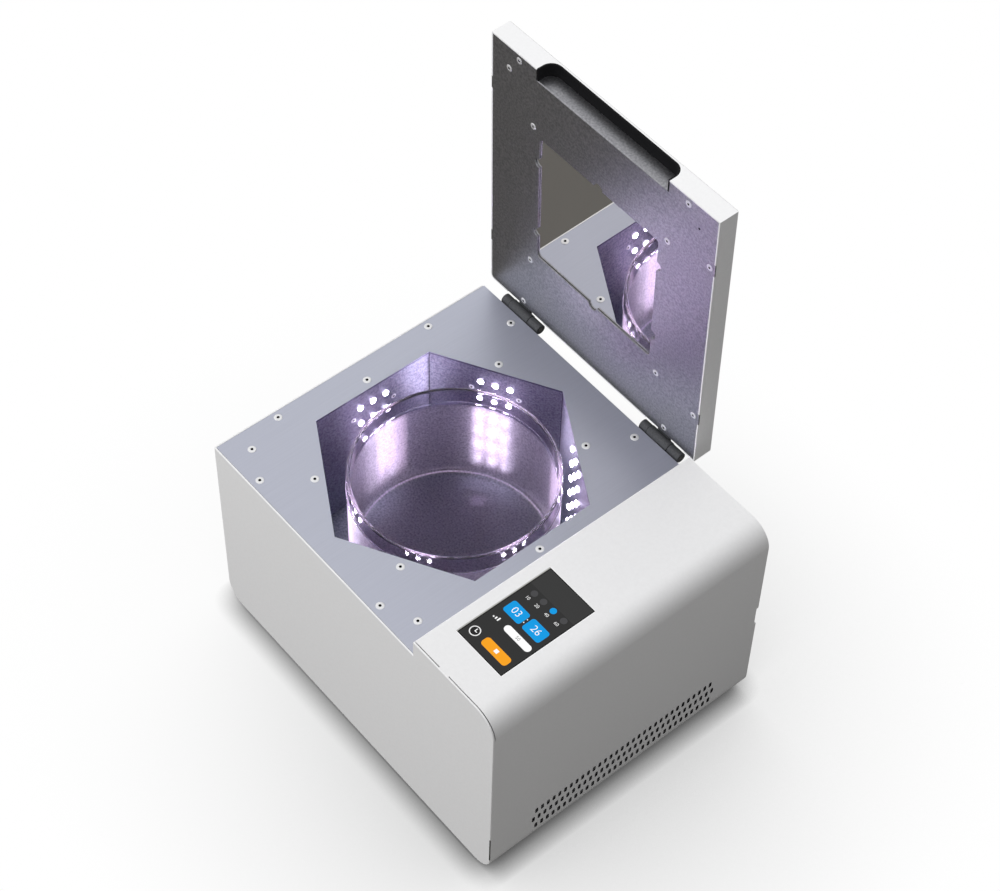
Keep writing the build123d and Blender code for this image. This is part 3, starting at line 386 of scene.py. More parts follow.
def dish_glass():
    """Pressed borosilicate glass: clear at the collar, sandblasted from the bead down.

    The blasting is a speckle about 1 mm wide. Emission paints a glow on it where an LED board faces it,
    and a painted highlight in a thin line at the fillet round the floor; both stay lit whatever lights the
    dish."""
    material, tree = new_finish("borosilicate_glass")
    where = add(tree, "ShaderNodeTexCoord")
    height = add(tree, "ShaderNodeSeparateXYZ", {"Vector": where.outputs["Object"]})
    top = DISH_LOW.z + FROST_TOP
    frost = add(
        tree,
        "ShaderNodeMapRange",
        {"Value": height.outputs["Z"], "From Min": top - MM, "From Max": top, "To Min": 1.0, "To Max": 0.0},
    )
    speckle, _ = drifting(tree, 550.0, "#D8D5DA", "#817E85")
    tint = add(
        tree,
        "ShaderNodeMix",
        {"Factor": frost.outputs[0], "A": linear("#ECE8F0"), "B": speckle},
        data_type="RGBA",
    )
    rough = add(tree, "ShaderNodeMath", {0: frost.outputs[0], 1: DISH_FROST}, operation="MULTIPLY")
    line = add(
        tree,
        "ShaderNodeMath",
        {0: height.outputs["Z"], 1: DISH_LOW.z + PAINTED_GLINT_H, 2: PAINTED_GLINT_HALF},
        operation="COMPARE",
    )
    painted_glint = add(tree, "ShaderNodeMath", {0: line.outputs[0], 1: PAINTED_GLINT}, operation="MULTIPLY")
    middle = (DISH_LOW + DISH_HIGH) / 2
    spoke = add(
        tree,
        "ShaderNodeVectorMath",
        {0: where.outputs["Object"], 1: (middle.x, middle.y, 0)},
        operation="SUBTRACT",
    )
    way = add(tree, "ShaderNodeSeparateXYZ", {"Vector": spoke.outputs[0]})
    bearing = add(tree, "ShaderNodeMath", {0: way.outputs["Y"], 1: way.outputs["X"]}, operation="ARCTAN2")
    boards = float(len(CHAMBER_SIDES))
    turns = add(tree, "ShaderNodeMath", {0: bearing.outputs[0], 1: boards}, operation="MULTIPLY")
    facing_board = add(tree, "ShaderNodeMath", {0: turns.outputs[0]}, operation="COSINE")
    painted_board_glow = add(
        tree,
        "ShaderNodeMapRange",
        {
            "Value": facing_board.outputs[0],
            "From Min": FACING_FROM,
            "From Max": FACING_TO,
            "To Max": PAINTED_BOARD_GLOW,
        },
        interpolation_type="SMOOTHSTEP",
    )
    above_floor = add(
        tree,
        "ShaderNodeMapRange",
        {
            "Value": height.outputs["Z"],
            "From Min": DISH_LOW.z + DISH_HEEL_R,
            "From Max": DISH_LOW.z + 5 * DISH_HEEL_R,
        },
        interpolation_type="SMOOTHSTEP",
    )
    on_wall = add(
        tree, "ShaderNodeMath", {0: above_floor.outputs[0], 1: frost.outputs[0]}, operation="MULTIPLY"
    )
    # Painted light: emission for the glow before each board and for the highlight line at the fillet.
    glow = add(
        tree,
        "ShaderNodeMath",
        {0: painted_board_glow.outputs[0], 1: on_wall.outputs[0], 2: painted_glint.outputs[0]},
        operation="MULTIPLY_ADD",
    )
    glass = add(
        tree,
        "ShaderNodeBsdfPrincipled",
        {
            "Base Color": tint.outputs["Result"],
            "Roughness": rough.outputs[0],
            "IOR": DISH_IOR,
            "Transmission Weight": 1.0,
            "Emission Color": linear("#E4C8EE"),
            "Emission Strength": glow.outputs[0],
        },
    )
    path = add(tree, "ShaderNodeLightPath")
    clear = add(tree, "ShaderNodeBsdfTransparent", {"Color": linear("#E0DAEA")})
    mixed = add(
        tree,
        "ShaderNodeMixShader",
        {0: path.outputs["Is Shadow Ray"], 1: glass.outputs[0], 2: clear.outputs[0]},
    )
    add(tree, "ShaderNodeOutputMaterial", {"Surface": mixed.outputs[0]})
    return material


def lit(name, colour, strength, body="#050505"):
    """A lit surface: an LED's lens, a part of the display's picture under its glossy glass, or a line of
    painted highlight or shade at the display's edge.
    """
    material, tree = new_finish(name)
    glow = add(
        tree,
        "ShaderNodeBsdfPrincipled",
        {
            "Base Color": linear(body),
            "Roughness": 0.15,
            "Specular IOR Level": 0.15,
            "Emission Color": linear(colour),
            "Emission Strength": strength,
        },
    )
    add(tree, "ShaderNodeOutputMaterial", {"Surface": glow.outputs[0]})
    return material


WHITE = powder_coat()

# The deck is brushed front to back, so it shades evenly. The lid and the chamber are rolled and not
# brushed, with a coarser speckle, and the chamber's floor is duller and painted darker as shade.
DECK_STEEL = satin_steel(
    "satin_stainless_deck", "#CCCFDD", "#C9CCDA", 900.0, 0.38, 0.000001, (1, 0.02, 1), DECK_Z - 0.1 * MM
)
LID_STEEL = satin_steel("satin_stainless_lid", "#C0C0C4", "#98989E", 550.0, 0.36, 0.00004)
CHAMBER_STEEL = satin_steel("satin_stainless_chamber", "#B1B3C0", "#7E808E", 550.0, 0.36, 0.00004)
SHADED_FLOOR_STEEL = satin_steel("dull_stainless_floor_shaded", "#6C7278", "#4B5056", 550.0, 0.5, 0.00004)
MIRROR = silvered_mirror()

# Matt black mouldings, a glossier rocker, cast hinges in dark grey paint, and soft dull rubber.
BLACK_PLASTIC = moulded_plastic("black_abs", "#08080A", "#0E0E10", 0.7, 0.2)
ROCKER_PLASTIC = moulded_plastic("black_nylon", "#0A0A0B", "#111112", 0.3)
GREY_PLASTIC = moulded_plastic("grey_polycarbonate", "#1D1D20", "#26262A", 0.5)
HINGE_METAL = moulded_plastic("painted_zinc_casting", "#3B3C3F", "#505154", 0.5)
RUBBER = moulded_plastic("nitrile_rubber", "#151515", "#222222", 0.8, 0.2)
PAD_RUBBER = moulded_plastic("grey_silicone", "#8A868F", "#969299", 0.8, 0.2)

# Circuit boards under solder mask, which is smooth and a little glossy.
BOARD_GREEN = moulded_plastic("green_solder_mask", "#0E3A1E", "#14502A", 0.4)
BOARD_BLACK = moulded_plastic("black_solder_mask", "#0C0C10", "#15151B", 0.4)

# The dark inside of screw sockets, joints and seams, with no gloss: painted shade standing in for the depth
# of each.
DARK_GAP = moulded_plastic("shadowed_gap", "#020203", "#050506", 0.8, 0.0)

# Small metal parts: dull zinc, pale nickel that stays bright on the deck, grey aluminium, steel pins.
ZINC = plated_metal("zinc_plate", "#C9C9C4", "#A9A9A2", 0.38)
NICKEL = plated_metal("nickel_plate", "#FBFBFC", "#F2F3F5", 0.3, 0.6)
ALUMINIUM = plated_metal("extruded_aluminium", "#CFD1D3", "#B4B6B9", 0.4)
PIN_STEEL = plated_metal("ground_steel", "#C8C8CB", "#AEAEB2", 0.22)

# The dish, the display's black border, and the violet white of the LEDs.
DISH_GLASS = dish_glass()
DISPLAY = lit("display_border", "#080808", 1.0)
LED_GLOW = lit("lit_led_lens", "#E9DBF8", LED_STRENGTH)

NODE_FINISH = {
    "cabinet_wrap": WHITE,
    "front_panel": WHITE,
    "rear_panel": WHITE,
    "lid_shell": WHITE,
    "deck_plate": DECK_STEEL,
    "lid_plate": LID_STEEL,
    "chamber_wall_": CHAMBER_STEEL,
    "chamber_floor": SHADED_FLOOR_STEEL,
    "dish_rest": SHADED_FLOOR_STEEL,
    "dish_pads": PAD_RUBBER,
    "deck_rails": ZINC,
    "chamber_posts": ZINC,
    "board_standoffs": ZINC,
    "lid_standoffs": ZINC,
    "mirror_clips": ZINC,
    "lid_mirror": MIRROR,
    "glass_dish": DISH_GLASS,
    "grip_liner": BLACK_PLASTIC,
    "fan_": BLACK_PLASTIC,
    "power_inlet": BLACK_PLASTIC,
    "switch_housing": BLACK_PLASTIC,
    "lid_sensor": BLACK_PLASTIC,
    "switch_rocker": ROCKER_PLASTIC,
    "hinge_body_leaves": HINGE_METAL,
    "hinge_lid_leaves": HINGE_METAL,
    "hinge_pins": PIN_STEEL,
    "display_glass": DISPLAY,
    "display_module": GREY_PLASTIC,
    "control_board": BOARD_GREEN,
    "led_board_": BOARD_BLACK,
    "led_heat_sinks": ALUMINIUM,
    "power_supply": ALUMINIUM,
    "rubber_feet": RUBBER,
    "mirror_seal": RUBBER,
    "catch_magnets": NICKEL,
    "lid_magnets": NICKEL,
}


def smooth_shading():
    """A modifier tree that joins a node's loose triangles and shades its bends smoothly."""
    tree = bpy.data.node_groups.new("smooth_bends", "GeometryNodeTree")
    tree.interface.new_socket("Geometry", in_out="INPUT", socket_type="NodeSocketGeometry")
    tree.interface.new_socket("Geometry", in_out="OUTPUT", socket_type="NodeSocketGeometry")
    crease = tree.interface.new_socket("Crease", in_out="INPUT", socket_type="NodeSocketFloat")
    crease.default_value = BEND_CREASE
    given = add(tree, "NodeGroupInput")
    doubles = 0.005 * MM
    joined = add(tree, "GeometryNodeMergeByDistance", {"Geometry": given.outputs[0], "Distance": doubles})
    smooth = add(
        tree,
        "GeometryNodeSetShadeSmooth",
        {"Geometry": joined.outputs[0], "Shade Smooth": True},
        domain="FACE",
    )
    angle = add(tree, "GeometryNodeInputMeshEdgeAngle")
    sharp = add(
        tree,
        "FunctionNodeCompare",
        {0: angle.outputs["Unsigned Angle"], 1: given.outputs[1]},
        operation="GREATER_THAN",
    )
    creased = add(
        tree,
        "GeometryNodeSetShadeSmooth",
        {"Geometry": smooth.outputs[0], "Selection": sharp.outputs[0], "Shade Smooth": False},
        domain="EDGE",
    )
    add(tree, "NodeGroupOutput", {0: creased.outputs[0]})
    return tree


def finish_nodes():
    """Gives every node of the frame its material and smooth bends."""
    bends = smooth_shading()
    for name, node in frame["nodes"].items():
        finish = next(material for start, material in NODE_FINISH.items() if name.startswith(start))
        for place in node.material_slots:
            place.link = "OBJECT"
            place.material = finish
        node.modifiers.new("smooth_bends", "NODES").node_group = bends


# ---- Making pieces ----------------------------------------------------------------------------


def show(name, mesh, material, body):
    """Puts a finished mesh in the scene as a piece that rides on a body."""
    piece = bpy.data.objects.new(name, mesh)
    bpy.context.scene.collection.objects.link(piece)
    if material is not None:
        mesh.materials.clear()
        mesh.materials.append(material)
    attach(piece, body)
    return piece


def mesh_of(shape, name, smooth=False):
    """Turns a bmesh into a mesh with its faces outwards."""
    bmesh.ops.recalc_face_normals(shape, faces=shape.faces)
    for face in shape.faces:
        face.smooth = smooth
    mesh = bpy.data.meshes.new(name)
    shape.to_mesh(mesh)
    shape.free()
    return mesh


def arc(centre, radius, start, end, steps):
    """Points of an arc, angles in degrees."""
    points = []
    for step in range(steps + 1):
        angle = math.radians(start + (end - start) * step / steps)
        points.append((centre[0] + radius * math.cos(angle), centre[1] + radius * math.sin(angle)))
    return points


def bridge(shape, lower, upper):
    """Joins two rings of points with a band of faces."""
    faces = []
    for step in range(len(lower)):
        following = (step + 1) % len(lower)
        faces.append(shape.faces.new((lower[step], lower[following], upper[following], upper[step])))
    return faces


def plate(shape, outline, low, high):
    """A flat plate from its outline in plan."""
    lower, upper = ([shape.verts.new((x, y, z)) for x, y in outline] for z in (low, high))
    shape.faces.new(lower[::-1])
    shape.faces.new(upper)
    bridge(shape, lower, upper)


def ring_of(shape, radius, height, sides, centre=(0, 0)):
    """A ring of points round an upright axis."""
    points = []
    for step in range(sides):
        angle = 2 * math.pi * step / sides
        place = (centre[0] + radius * math.cos(angle), centre[1] + radius * math.sin(angle), height)
        points.append(shape.verts.new(place))
    return points


def repeated(name, places, pattern, materials, body, size=1.0):
    """Copies a small pattern mesh to many places, each turned to face the way given with it.

    Faces of the pattern that are marked dark get the second finish."""
    carrier_mesh = bpy.data.meshes.new(name + "_places")
    carrier_mesh.from_pydata([place for place, _ in places], [], [])
    facing = carrier_mesh.attributes.new("facing", "FLOAT_VECTOR", "POINT")
    for item, (_, way) in zip(facing.data, places):
        item.vector = way
    carrier = bpy.data.objects.new(name + "_places", carrier_mesh)
    master = bpy.data.objects.new(name + "_pattern", pattern)
    for item in (carrier, master):
        bpy.context.scene.collection.objects.link(item)

    tree = bpy.data.node_groups.new(name, "GeometryNodeTree")
    tree.interface.new_socket("Places", in_out="INPUT", socket_type="NodeSocketGeometry")
    tree.interface.new_socket("Pieces", in_out="OUTPUT", socket_type="NodeSocketGeometry")
    pattern_input = tree.interface.new_socket("Pattern", in_out="INPUT", socket_type="NodeSocketObject")
    size_input = tree.interface.new_socket("Size", in_out="INPUT", socket_type="NodeSocketFloat")
    given = add(tree, "NodeGroupInput")
    info = add(tree, "GeometryNodeObjectInfo", {"Object": given.outputs["Pattern"]})
    way = add(tree, "GeometryNodeInputNamedAttribute", {"Name": "facing"}, data_type="FLOAT_VECTOR")
    turn = add(tree, "FunctionNodeAlignRotationToVector", {"Vector": way.outputs["Attribute"]}, axis="Z")
    copies = add(
        tree,
        "GeometryNodeInstanceOnPoints",
        {
            "Points": given.outputs["Places"],
            "Instance": info.outputs["Geometry"],
            "Rotation": turn.outputs["Rotation"],
            "Scale": given.outputs["Size"],
        },
    )
    real = add(tree, "GeometryNodeRealizeInstances", {"Geometry": copies.outputs["Instances"]})
    dark = add(tree, "GeometryNodeInputNamedAttribute", {"Name": "dark"}, data_type="BOOLEAN")
    first = add(tree, "GeometryNodeSetMaterial", {"Geometry": real.outputs[0], "Material": materials[0]})
    last = add(
        tree,
        "GeometryNodeSetMaterial",
        {"Geometry": first.outputs[0], "Selection": dark.outputs["Attribute"], "Material": materials[-1]},
    )
    add(tree, "NodeGroupOutput", {0: last.outputs[0]})

    modifier = carrier.modifiers.new(name, "NODES")
    modifier.node_group = tree
    modifier[pattern_input.identifier] = master
    modifier[size_input.identifier] = size
    seen = carrier.evaluated_get(bpy.context.evaluated_depsgraph_get())
    mesh = bpy.data.meshes.new_from_object(seen)
    for item in (carrier, master):
        bpy.data.objects.remove(item)
    return show(name, mesh, None, body)


def screw_head():
    """A low button head with a shallow hexagon socket; the socket's faces are marked dark, as painted shade
    for its depth.
    """
    shape = bmesh.new()
    profile = [
        (SCREW_R, 0.0),
        (SCREW_R, 0.4 * SCREW_RISE),
        (0.85 * SCREW_R, 0.84 * SCREW_RISE),
        (1.3 * SOCKET_R, SCREW_RISE),
        (SOCKET_R, 0.9 * SCREW_RISE),
        (SOCKET_R, 0.15 * SCREW_RISE),
    ]
    rings = [ring_of(shape, radius, height, SCREW_SIDES) for radius, height in profile]
    dark = shape.faces.layers.bool.new("dark")
    shape.faces.new(rings[0][::-1])
    for lower, upper in zip(rings, rings[1:]):
        for face in bridge(shape, lower, upper):
            face[dark] = upper is rings[-1]
    shape.faces.new(rings[-1])[dark] = True
    return mesh_of(shape, "screw_head", True)


def lens_dome():
    """An LED's lens: a shallow dome over its window."""
    shape = bmesh.new()
    profile = [(1.0, 0.0), (1.0, 0.35), (0.75, 0.8), (0.35, 1.0)]
    rings = [ring_of(shape, radius * LENS_R, height * LENS_RISE, LENS_SIDES) for radius, height in profile]
    shape.faces.new(rings[0][::-1])
    for lower, upper in zip(rings, rings[1:]):
        bridge(shape, lower, upper)
    shape.faces.new(rings[-1])
    return mesh_of(shape, "lens_dome", True)


# ---- Cabinet ----------------------------------------------------------------------------------


def slot_corners():
    """Four corner pieces that round the ends of a vent slot, whose length runs along X."""
    shape = bmesh.new()
    half, radius = VENT_H / 2, VENT_W / 2
    for side in (-1, 1):
        for turn in (-1, 1):
            outline = [(side * half, turn * radius)]
            for x, y in arc((half - radius, 0), radius, 0, 90, 5):
                outline.append((side * x, turn * y))
            plate(shape, outline, -SHEET, 0.0)
    return mesh_of(shape, "slot_corners")


def make_vent_corners():
    """Rounds the ends of every vent slot, in three staggered rows."""
    places = []
    for row, count in enumerate(VENT_COUNTS):
        for column in range(count):
            y = VENT_BACK + (column - (count - 1) / 2) * VENT_PITCH
            places.append(((WRAP_HIGH.x, y, VENT_LOW + row * VENT_ROW_PITCH), Vector((1, 0, 0))))
    repeated("vent_corners", places, slot_corners(), (WHITE,), "cabinet")


def make_rear_screws():
    """Four screws hold the fan, and eight the rear panel."""
    back = Vector((0, 1, 0))
    fan = next(j["pos_m"] for j in frame["joints"] if j["name"] == "fan_spin")
    places = [
        ((fan[0] + x * FAN_SCREWS, WRAP_HIGH.y, fan[2] + z * FAN_SCREWS), back)
        for x in (-1, 1)
        for z in (-1, 1)
    ]
    places += [((x * MM, WRAP_HIGH.y, z * MM), back) for x, z in REAR_SCREWS]
    repeated("rear_screws", places, screw_head(), (ZINC, DARK_GAP), "cabinet")


# ---- Chamber ----------------------------------------------------------------------------------


def on_chamber_wall(angle, across, below_deck):
    """A place on a chamber wall's inner face and the way that it faces."""
    turn = Matrix.Rotation(math.radians(angle), 3, "Z")
    place = turn @ Vector((CHAMBER_WALL_IN, across, 0))
    return (CHAMBER.x + place.x, CHAMBER.y + place.y, DECK_Z - below_deck), turn @ Vector((-1, 0, 0))


def make_led_lenses():
    """Three columns of six LEDs in each chamber wall."""
    places = [
        on_chamber_wall(angle, across, LED_TOP + row * LED_PITCH)
        for angle in CHAMBER_SIDES
        for across in LED_COLUMNS
        for row in range(LED_ROWS)
    ]
    repeated("led_lenses", places, lens_dome(), (LED_GLOW,), "cabinet")


def make_board_screws():
    """Four screws hold each LED board to its wall."""
    places = [
        on_chamber_wall(angle, across, below)
        for angle in CHAMBER_SIDES
        for across in (-BOARD_SCREWS, BOARD_SCREWS)
        for below in BOARD_SCREW_ROWS
    ]
    finishes = (NICKEL, DARK_GAP)
    repeated("led_board_screws", places, screw_head(), finishes, "cabinet", BOARD_SCREW_SIZE)


def make_wall_seams():
    """The open mitre between each two chamber walls, drawn as a thin dark strip of painted shade."""
    shape = bmesh.new()
    reach = CHAMBER_WALL_IN / math.cos(math.pi / 6)
    for angle in CHAMBER_SIDES:
        turn = Matrix.Rotation(math.radians(angle + 30), 3, "Z")
        outline = []
        for along, across in ((reach, 0), (reach - WALL_SEAM, WALL_SEAM), (reach - WALL_SEAM, -WALL_SEAM)):
            place = turn @ Vector((along, across, 0))
            outline.append((CHAMBER.x + place.x, CHAMBER.y + place.y))
        plate(shape, outline, FLOOR_HIGH.z, DECK_Z - WALL_SEAM_TOP)
    show("chamber_wall_seams", mesh_of(shape, "chamber_wall_seams"), DARK_GAP, "cabinet")


# ---- Deck and lid screws ----------------------------------------------------------------------


def make_deck_screws():
    """Eight screws along the deck's edges, and six round the chamber."""
    up = Vector((0, 0, 1))
    places = [((CORNER.x + x * MM, CORNER.y + y * MM, DECK_Z), up) for x, y in DECK_SCREWS]
    for x, y in arc((CHAMBER.x, CHAMBER.y), DECK_SCREW_RING, 0, 300, 5):
        places.append(((x, y, DECK_Z), up))
    repeated("deck_screws", places, screw_head(), (NICKEL, DARK_GAP), "cabinet")


def on_lid(x, v):
    """A place on the open lid's inner plate and the way that it faces."""
    return opened((CORNER.x + x * MM, LID_EDGE_Y - v * MM, LID_FACE_Z)), LID_FACING


def make_lid_screws():
    """The screws of the lid's inner plate, and the small hole near its right edge, drawn as a dark disc of
    painted shade.
    """
    places = [on_lid(*place) for place in LID_SCREWS]
    repeated("lid_screws", places, screw_head(), (NICKEL, DARK_GAP), "lid", LID_SCREW_SIZE)
    hole = [on_lid(*LID_SENSOR_HOLE)]
    repeated("lid_sensor_hole", hole, screw_head(), (DARK_GAP,), "lid", SENSOR_HOLE_SIZE)


# ---- Hinges -----------------------------------------------------------------------------------


def band(radius, thickness, length):
    """A band round the Z axis with broken edges."""
    shape = bmesh.new()
    profile = [(radius - thickness, 0.0), (radius - BAND_EDGE, 0.0), (radius, BAND_EDGE)]
    if length > 2 * ROUND_FLAT:
        profile += [(radius, ROUND_FLAT), (radius, length - ROUND_FLAT)]
    profile += [(radius, length - BAND_EDGE), (radius - BAND_EDGE, length), (radius - thickness, length)]
    rings = [ring_of(shape, r, height, BAND_SIDES) for r, height in profile]
    for lower, upper in zip(rings, rings[1:] + rings[:1]):
        bridge(shape, lower, upper)
    return mesh_of(shape, "band", True)


def make_hinge_bands():
    """The lid's knuckles are a little thicker than the cabinet's, with a dark band of painted shade for the
    joint at each end.
    """
    right = Vector((1, 0, 0))
    sleeves, joints = [], []
    for start, end in LID_KNUCKLES:
        sleeves.append(((start + JOINT_W / 2, HINGE.y, HINGE.z), right))
        joints += [((x - JOINT_W / 2, HINGE.y, HINGE.z), right) for x in (start, end)]
    start, end = LID_KNUCKLES[0]
    sleeve = band(BARREL_R + SLEEVE_T, SLEEVE_T, end - start - JOINT_W)
    repeated("hinge_sleeves", sleeves, sleeve, (HINGE_METAL,), "lid")
    joint = band(BARREL_R + JOINT_PROUD, JOINT_T, JOINT_W)
    repeated("hinge_joints", joints, joint, (DARK_GAP,), "cabinet")


# ---- Dish -------------------------------------------------------------------------------------


def turned(profile, steps, centre):
    """A closed body of revolution from a profile that starts and ends on the axis."""
    shape = bmesh.new()
    start, *middle, end = profile
    rings = [ring_of(shape, radius, centre.z + height, steps, centre) for radius, height in middle]
    for lower, upper in zip(rings, rings[1:]):
        bridge(shape, lower, upper)
    for (_, height), ring in ((start, rings[0]), (end, rings[-1])):
        middle_point = shape.verts.new((centre.x, centre.y, centre.z + height))
        for step in range(steps):
            shape.faces.new((middle_point, ring[step], ring[(step + 1) % steps]))
    return shape


def make_dish():
    """The dish turned from its profile, with a round heel, rim and bead."""
    centre = Vector(((DISH_LOW.x + DISH_HIGH.x) / 2, (DISH_LOW.y + DISH_HIGH.y) / 2, DISH_LOW.z))
    outer = (DISH_HIGH.x - DISH_LOW.x) / 2 - BEAD_R
    inner = outer - DISH_WALL
    tall = DISH_HIGH.z - DISH_LOW.z
    flat = ROUND_FLAT
    profile = [(0.0, 0.0), (outer - DISH_HEEL_R - flat, 0.0)]
    profile += arc((outer - DISH_HEEL_R, DISH_HEEL_R), DISH_HEEL_R, -90, 0, 8)
    profile += [(outer, DISH_HEEL_R + flat), (outer, BEAD_H - BEAD_R - flat)]
    profile += arc((outer, BEAD_H), BEAD_R, -90, 90, 6)
    profile += [(outer, BEAD_H + BEAD_R + flat), (outer, tall - DISH_RIM_R - flat)]
    profile += arc((outer - DISH_RIM_R, tall - DISH_RIM_R), DISH_RIM_R, 0, 90, 6)
    profile += arc((inner + DISH_RIM_R, tall - DISH_RIM_R), DISH_RIM_R, 90, 180, 6)
    profile += [(inner, tall - DISH_RIM_R - flat), (inner, DISH_BASE + DISH_INNER_R + flat)]
    profile += arc((inner - DISH_INNER_R, DISH_BASE + DISH_INNER_R), DISH_INNER_R, 0, -90, 7)
    profile += [(inner - DISH_INNER_R - flat, DISH_BASE), (0.0, DISH_BASE)]
    mesh = mesh_of(turned(profile, DISH_STEPS, centre), "dish", True)
    dish = show("dish", mesh, DISH_GLASS, "dish")
    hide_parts("glass_dish")


# ---- Display ----------------------------------------------------------------------------------


def rounded(left, right, low, high, radius):
    """Outline of a rounded rectangle in screen millimetres."""
    outline = []
    for x, y, start in (
        (right - radius, high - radius, 0),
        (left + radius, high - radius, 90),
        (left + radius, low + radius, 180),
        (right - radius, low + radius, 270),
    ):
        outline += arc((x, y), radius, start, start + 90, 5)
    return outline


def make_picture(name, outlines, layers, colour):
    """One colour of the display's picture, or of the painted highlight and shade round it, as thin plates on
    its glass.
    """
    shape = bmesh.new()
    for outline in outlines:
        placed = [(SCREEN_LOW.x + x * MM, SCREEN_LOW.y + y * MM) for x, y in outline]
        plate(shape, placed, SCREEN_HIGH.z, SCREEN_HIGH.z + layers * INK)
    show(name, mesh_of(shape, name), lit(name, colour, 1.0), "cabinet")


def make_digits(name, words, layers, colour):
    """Plain digits, each with its size and the middle that it stands on."""
    shape = bmesh.new()
    for text, size, x, y in words:
        curve = bpy.data.curves.new(name, "FONT")
        curve.body = text
        curve.size = size * MM
        curve.offset = -STROKE_THINNER * size * MM
        curve.align_x = curve.align_y = "CENTER"
        curve.extrude = layers * INK / 2
        writing = bpy.data.objects.new(name, curve)
        mesh = bpy.data.meshes.new_from_object(writing)
        place = (SCREEN_LOW.x + x * MM, SCREEN_LOW.y + y * MM, SCREEN_HIGH.z + layers * INK / 2)
        mesh.transform(Matrix.Translation(place))
        shape.from_mesh(mesh)
        bpy.data.objects.remove(writing)
        bpy.data.meshes.remove(mesh)
    show(name, mesh_of(shape, name), lit(name, colour, 1.0), "cabinet")


def make_display():
    """A running timer: minutes and seconds, a power level, a stop button and four programmes."""
    wide, tall = ((SCREEN_HIGH - SCREEN_LOW) / MM).xy
    make_picture("screen_background", [rounded(0.8, wide - 0.8, 0.8, tall - 0.8, 0.2)], 1, "#2E2E2E")
    make_picture("screen_header", [rounded(0.8, wide - 0.8, 73.5, tall - 0.8, 0.2)], 2, "#363636")
    # Painted highlight along three edges of the display's recess, and painted shade along the fourth.
    highlight_lines = [
        rounded(-0.45, wide + 0.45, -0.45, -0.05, 0.05),
        rounded(wide + 0.05, wide + 0.45, -0.05, tall + 0.05, 0.05),
        rounded(-0.45, wide + 0.45, tall + 0.05, tall + 0.45, 0.05),
    ]
    make_picture("screen_edge_lit", highlight_lines, 1, "#FFFFFF")
    make_picture("screen_edge_shaded", [rounded(-1.1, -0.05, -0.05, tall + 0.05, 0.05)], 1, "#B2B2AE")
    make_picture(
        "screen_time_tiles",
        [rounded(5.6, 25.1, 40.3, 53.5, 2.5), rounded(28.0, 47.8, 40.6, 54.0, 2.5)],
        2,
        "#009AE4",
    )
    make_picture("screen_stop_button", [rounded(18.9, 47.8, 7.0, 16.0, 3.0)], 2, "#F9A31A")
    make_picture("screen_level", [rounded(19.8, 49.4, 28.6, 35.2, 3.25)], 2, "#FFFFFF")
    make_picture("screen_ring", [arc((8.5, 11.0), 4.8, 0, 345, 23)], 2, "#F0F0F0")
    make_picture("screen_ring_middle", [arc((8.5, 11.0), 3.9, 0, 345, 23)], 3, "#1E1E1E")
    make_picture(
        "screen_programmes_off",
        [arc(centre, 3.0, 0, 345, 23) for centre in ((10.7, 68.9), (21.1, 69.4), (44.5, 69.9))],
        3,
        "#464648",
    )
    make_picture("screen_programme_on", [arc((32.4, 69.7), 2.9, 0, 345, 23)], 3, "#009AE4")
    make_picture(
        "screen_marks",
        [
            [(31.6, 10.0), (35.2, 10.0), (35.2, 13.4), (31.6, 13.4)],
            rounded(25.6, 26.6, 48.4, 49.4, 0.4),
            rounded(25.6, 26.6, 44.6, 45.6, 0.4),
            [(8.1, 11.0), (8.9, 11.0), (8.9, 13.7), (8.1, 13.7)],
            [(8.1, 10.6), (10.6, 10.6), (10.6, 11.3), (8.1, 11.3)],
            [(6.4, 30.2), (7.6, 30.2), (7.6, 31.4), (6.4, 31.4)],
            [(8.8, 30.2), (10.0, 30.2), (10.0, 32.6), (8.8, 32.6)],
            [(11.2, 30.2), (12.4, 30.2), (12.4, 33.8), (11.2, 33.8)],
        ],
        4,
        "#FFFFFF",
    )
    make_digits("screen_time", [("03", 9.2, 15.4, 46.9), ("26", 9.2, 38.0, 47.4)], 4, "#FFFFFF")
    make_digits(
        "screen_programme_digits",
        [("10", 4.2, 10.4, 62.4), ("20", 4.2, 20.8, 62.8), ("40", 4.2, 31.8, 63.2), ("60", 4.2, 43.0, 63.6)],
        3,
        "#FFFFFF",
    )
    make_digits("screen_level_digits", [("50", 4.4, 34.6, 31.9)], 4, "#3A3A3A")


# ---- Studio -----------------------------------------------------------------------------------


def seen_directly(tree):
    """One where the camera looks straight or through glass, and nothing elsewhere."""
    path = add(tree, "ShaderNodeLightPath")
    seen = add(
        tree,
        "ShaderNodeMath",
        {0: path.outputs["Is Camera Ray"], 1: path.outputs["Is Transmission Ray"]},
        operation="MAXIMUM",
    )
    return seen.outputs[0], path


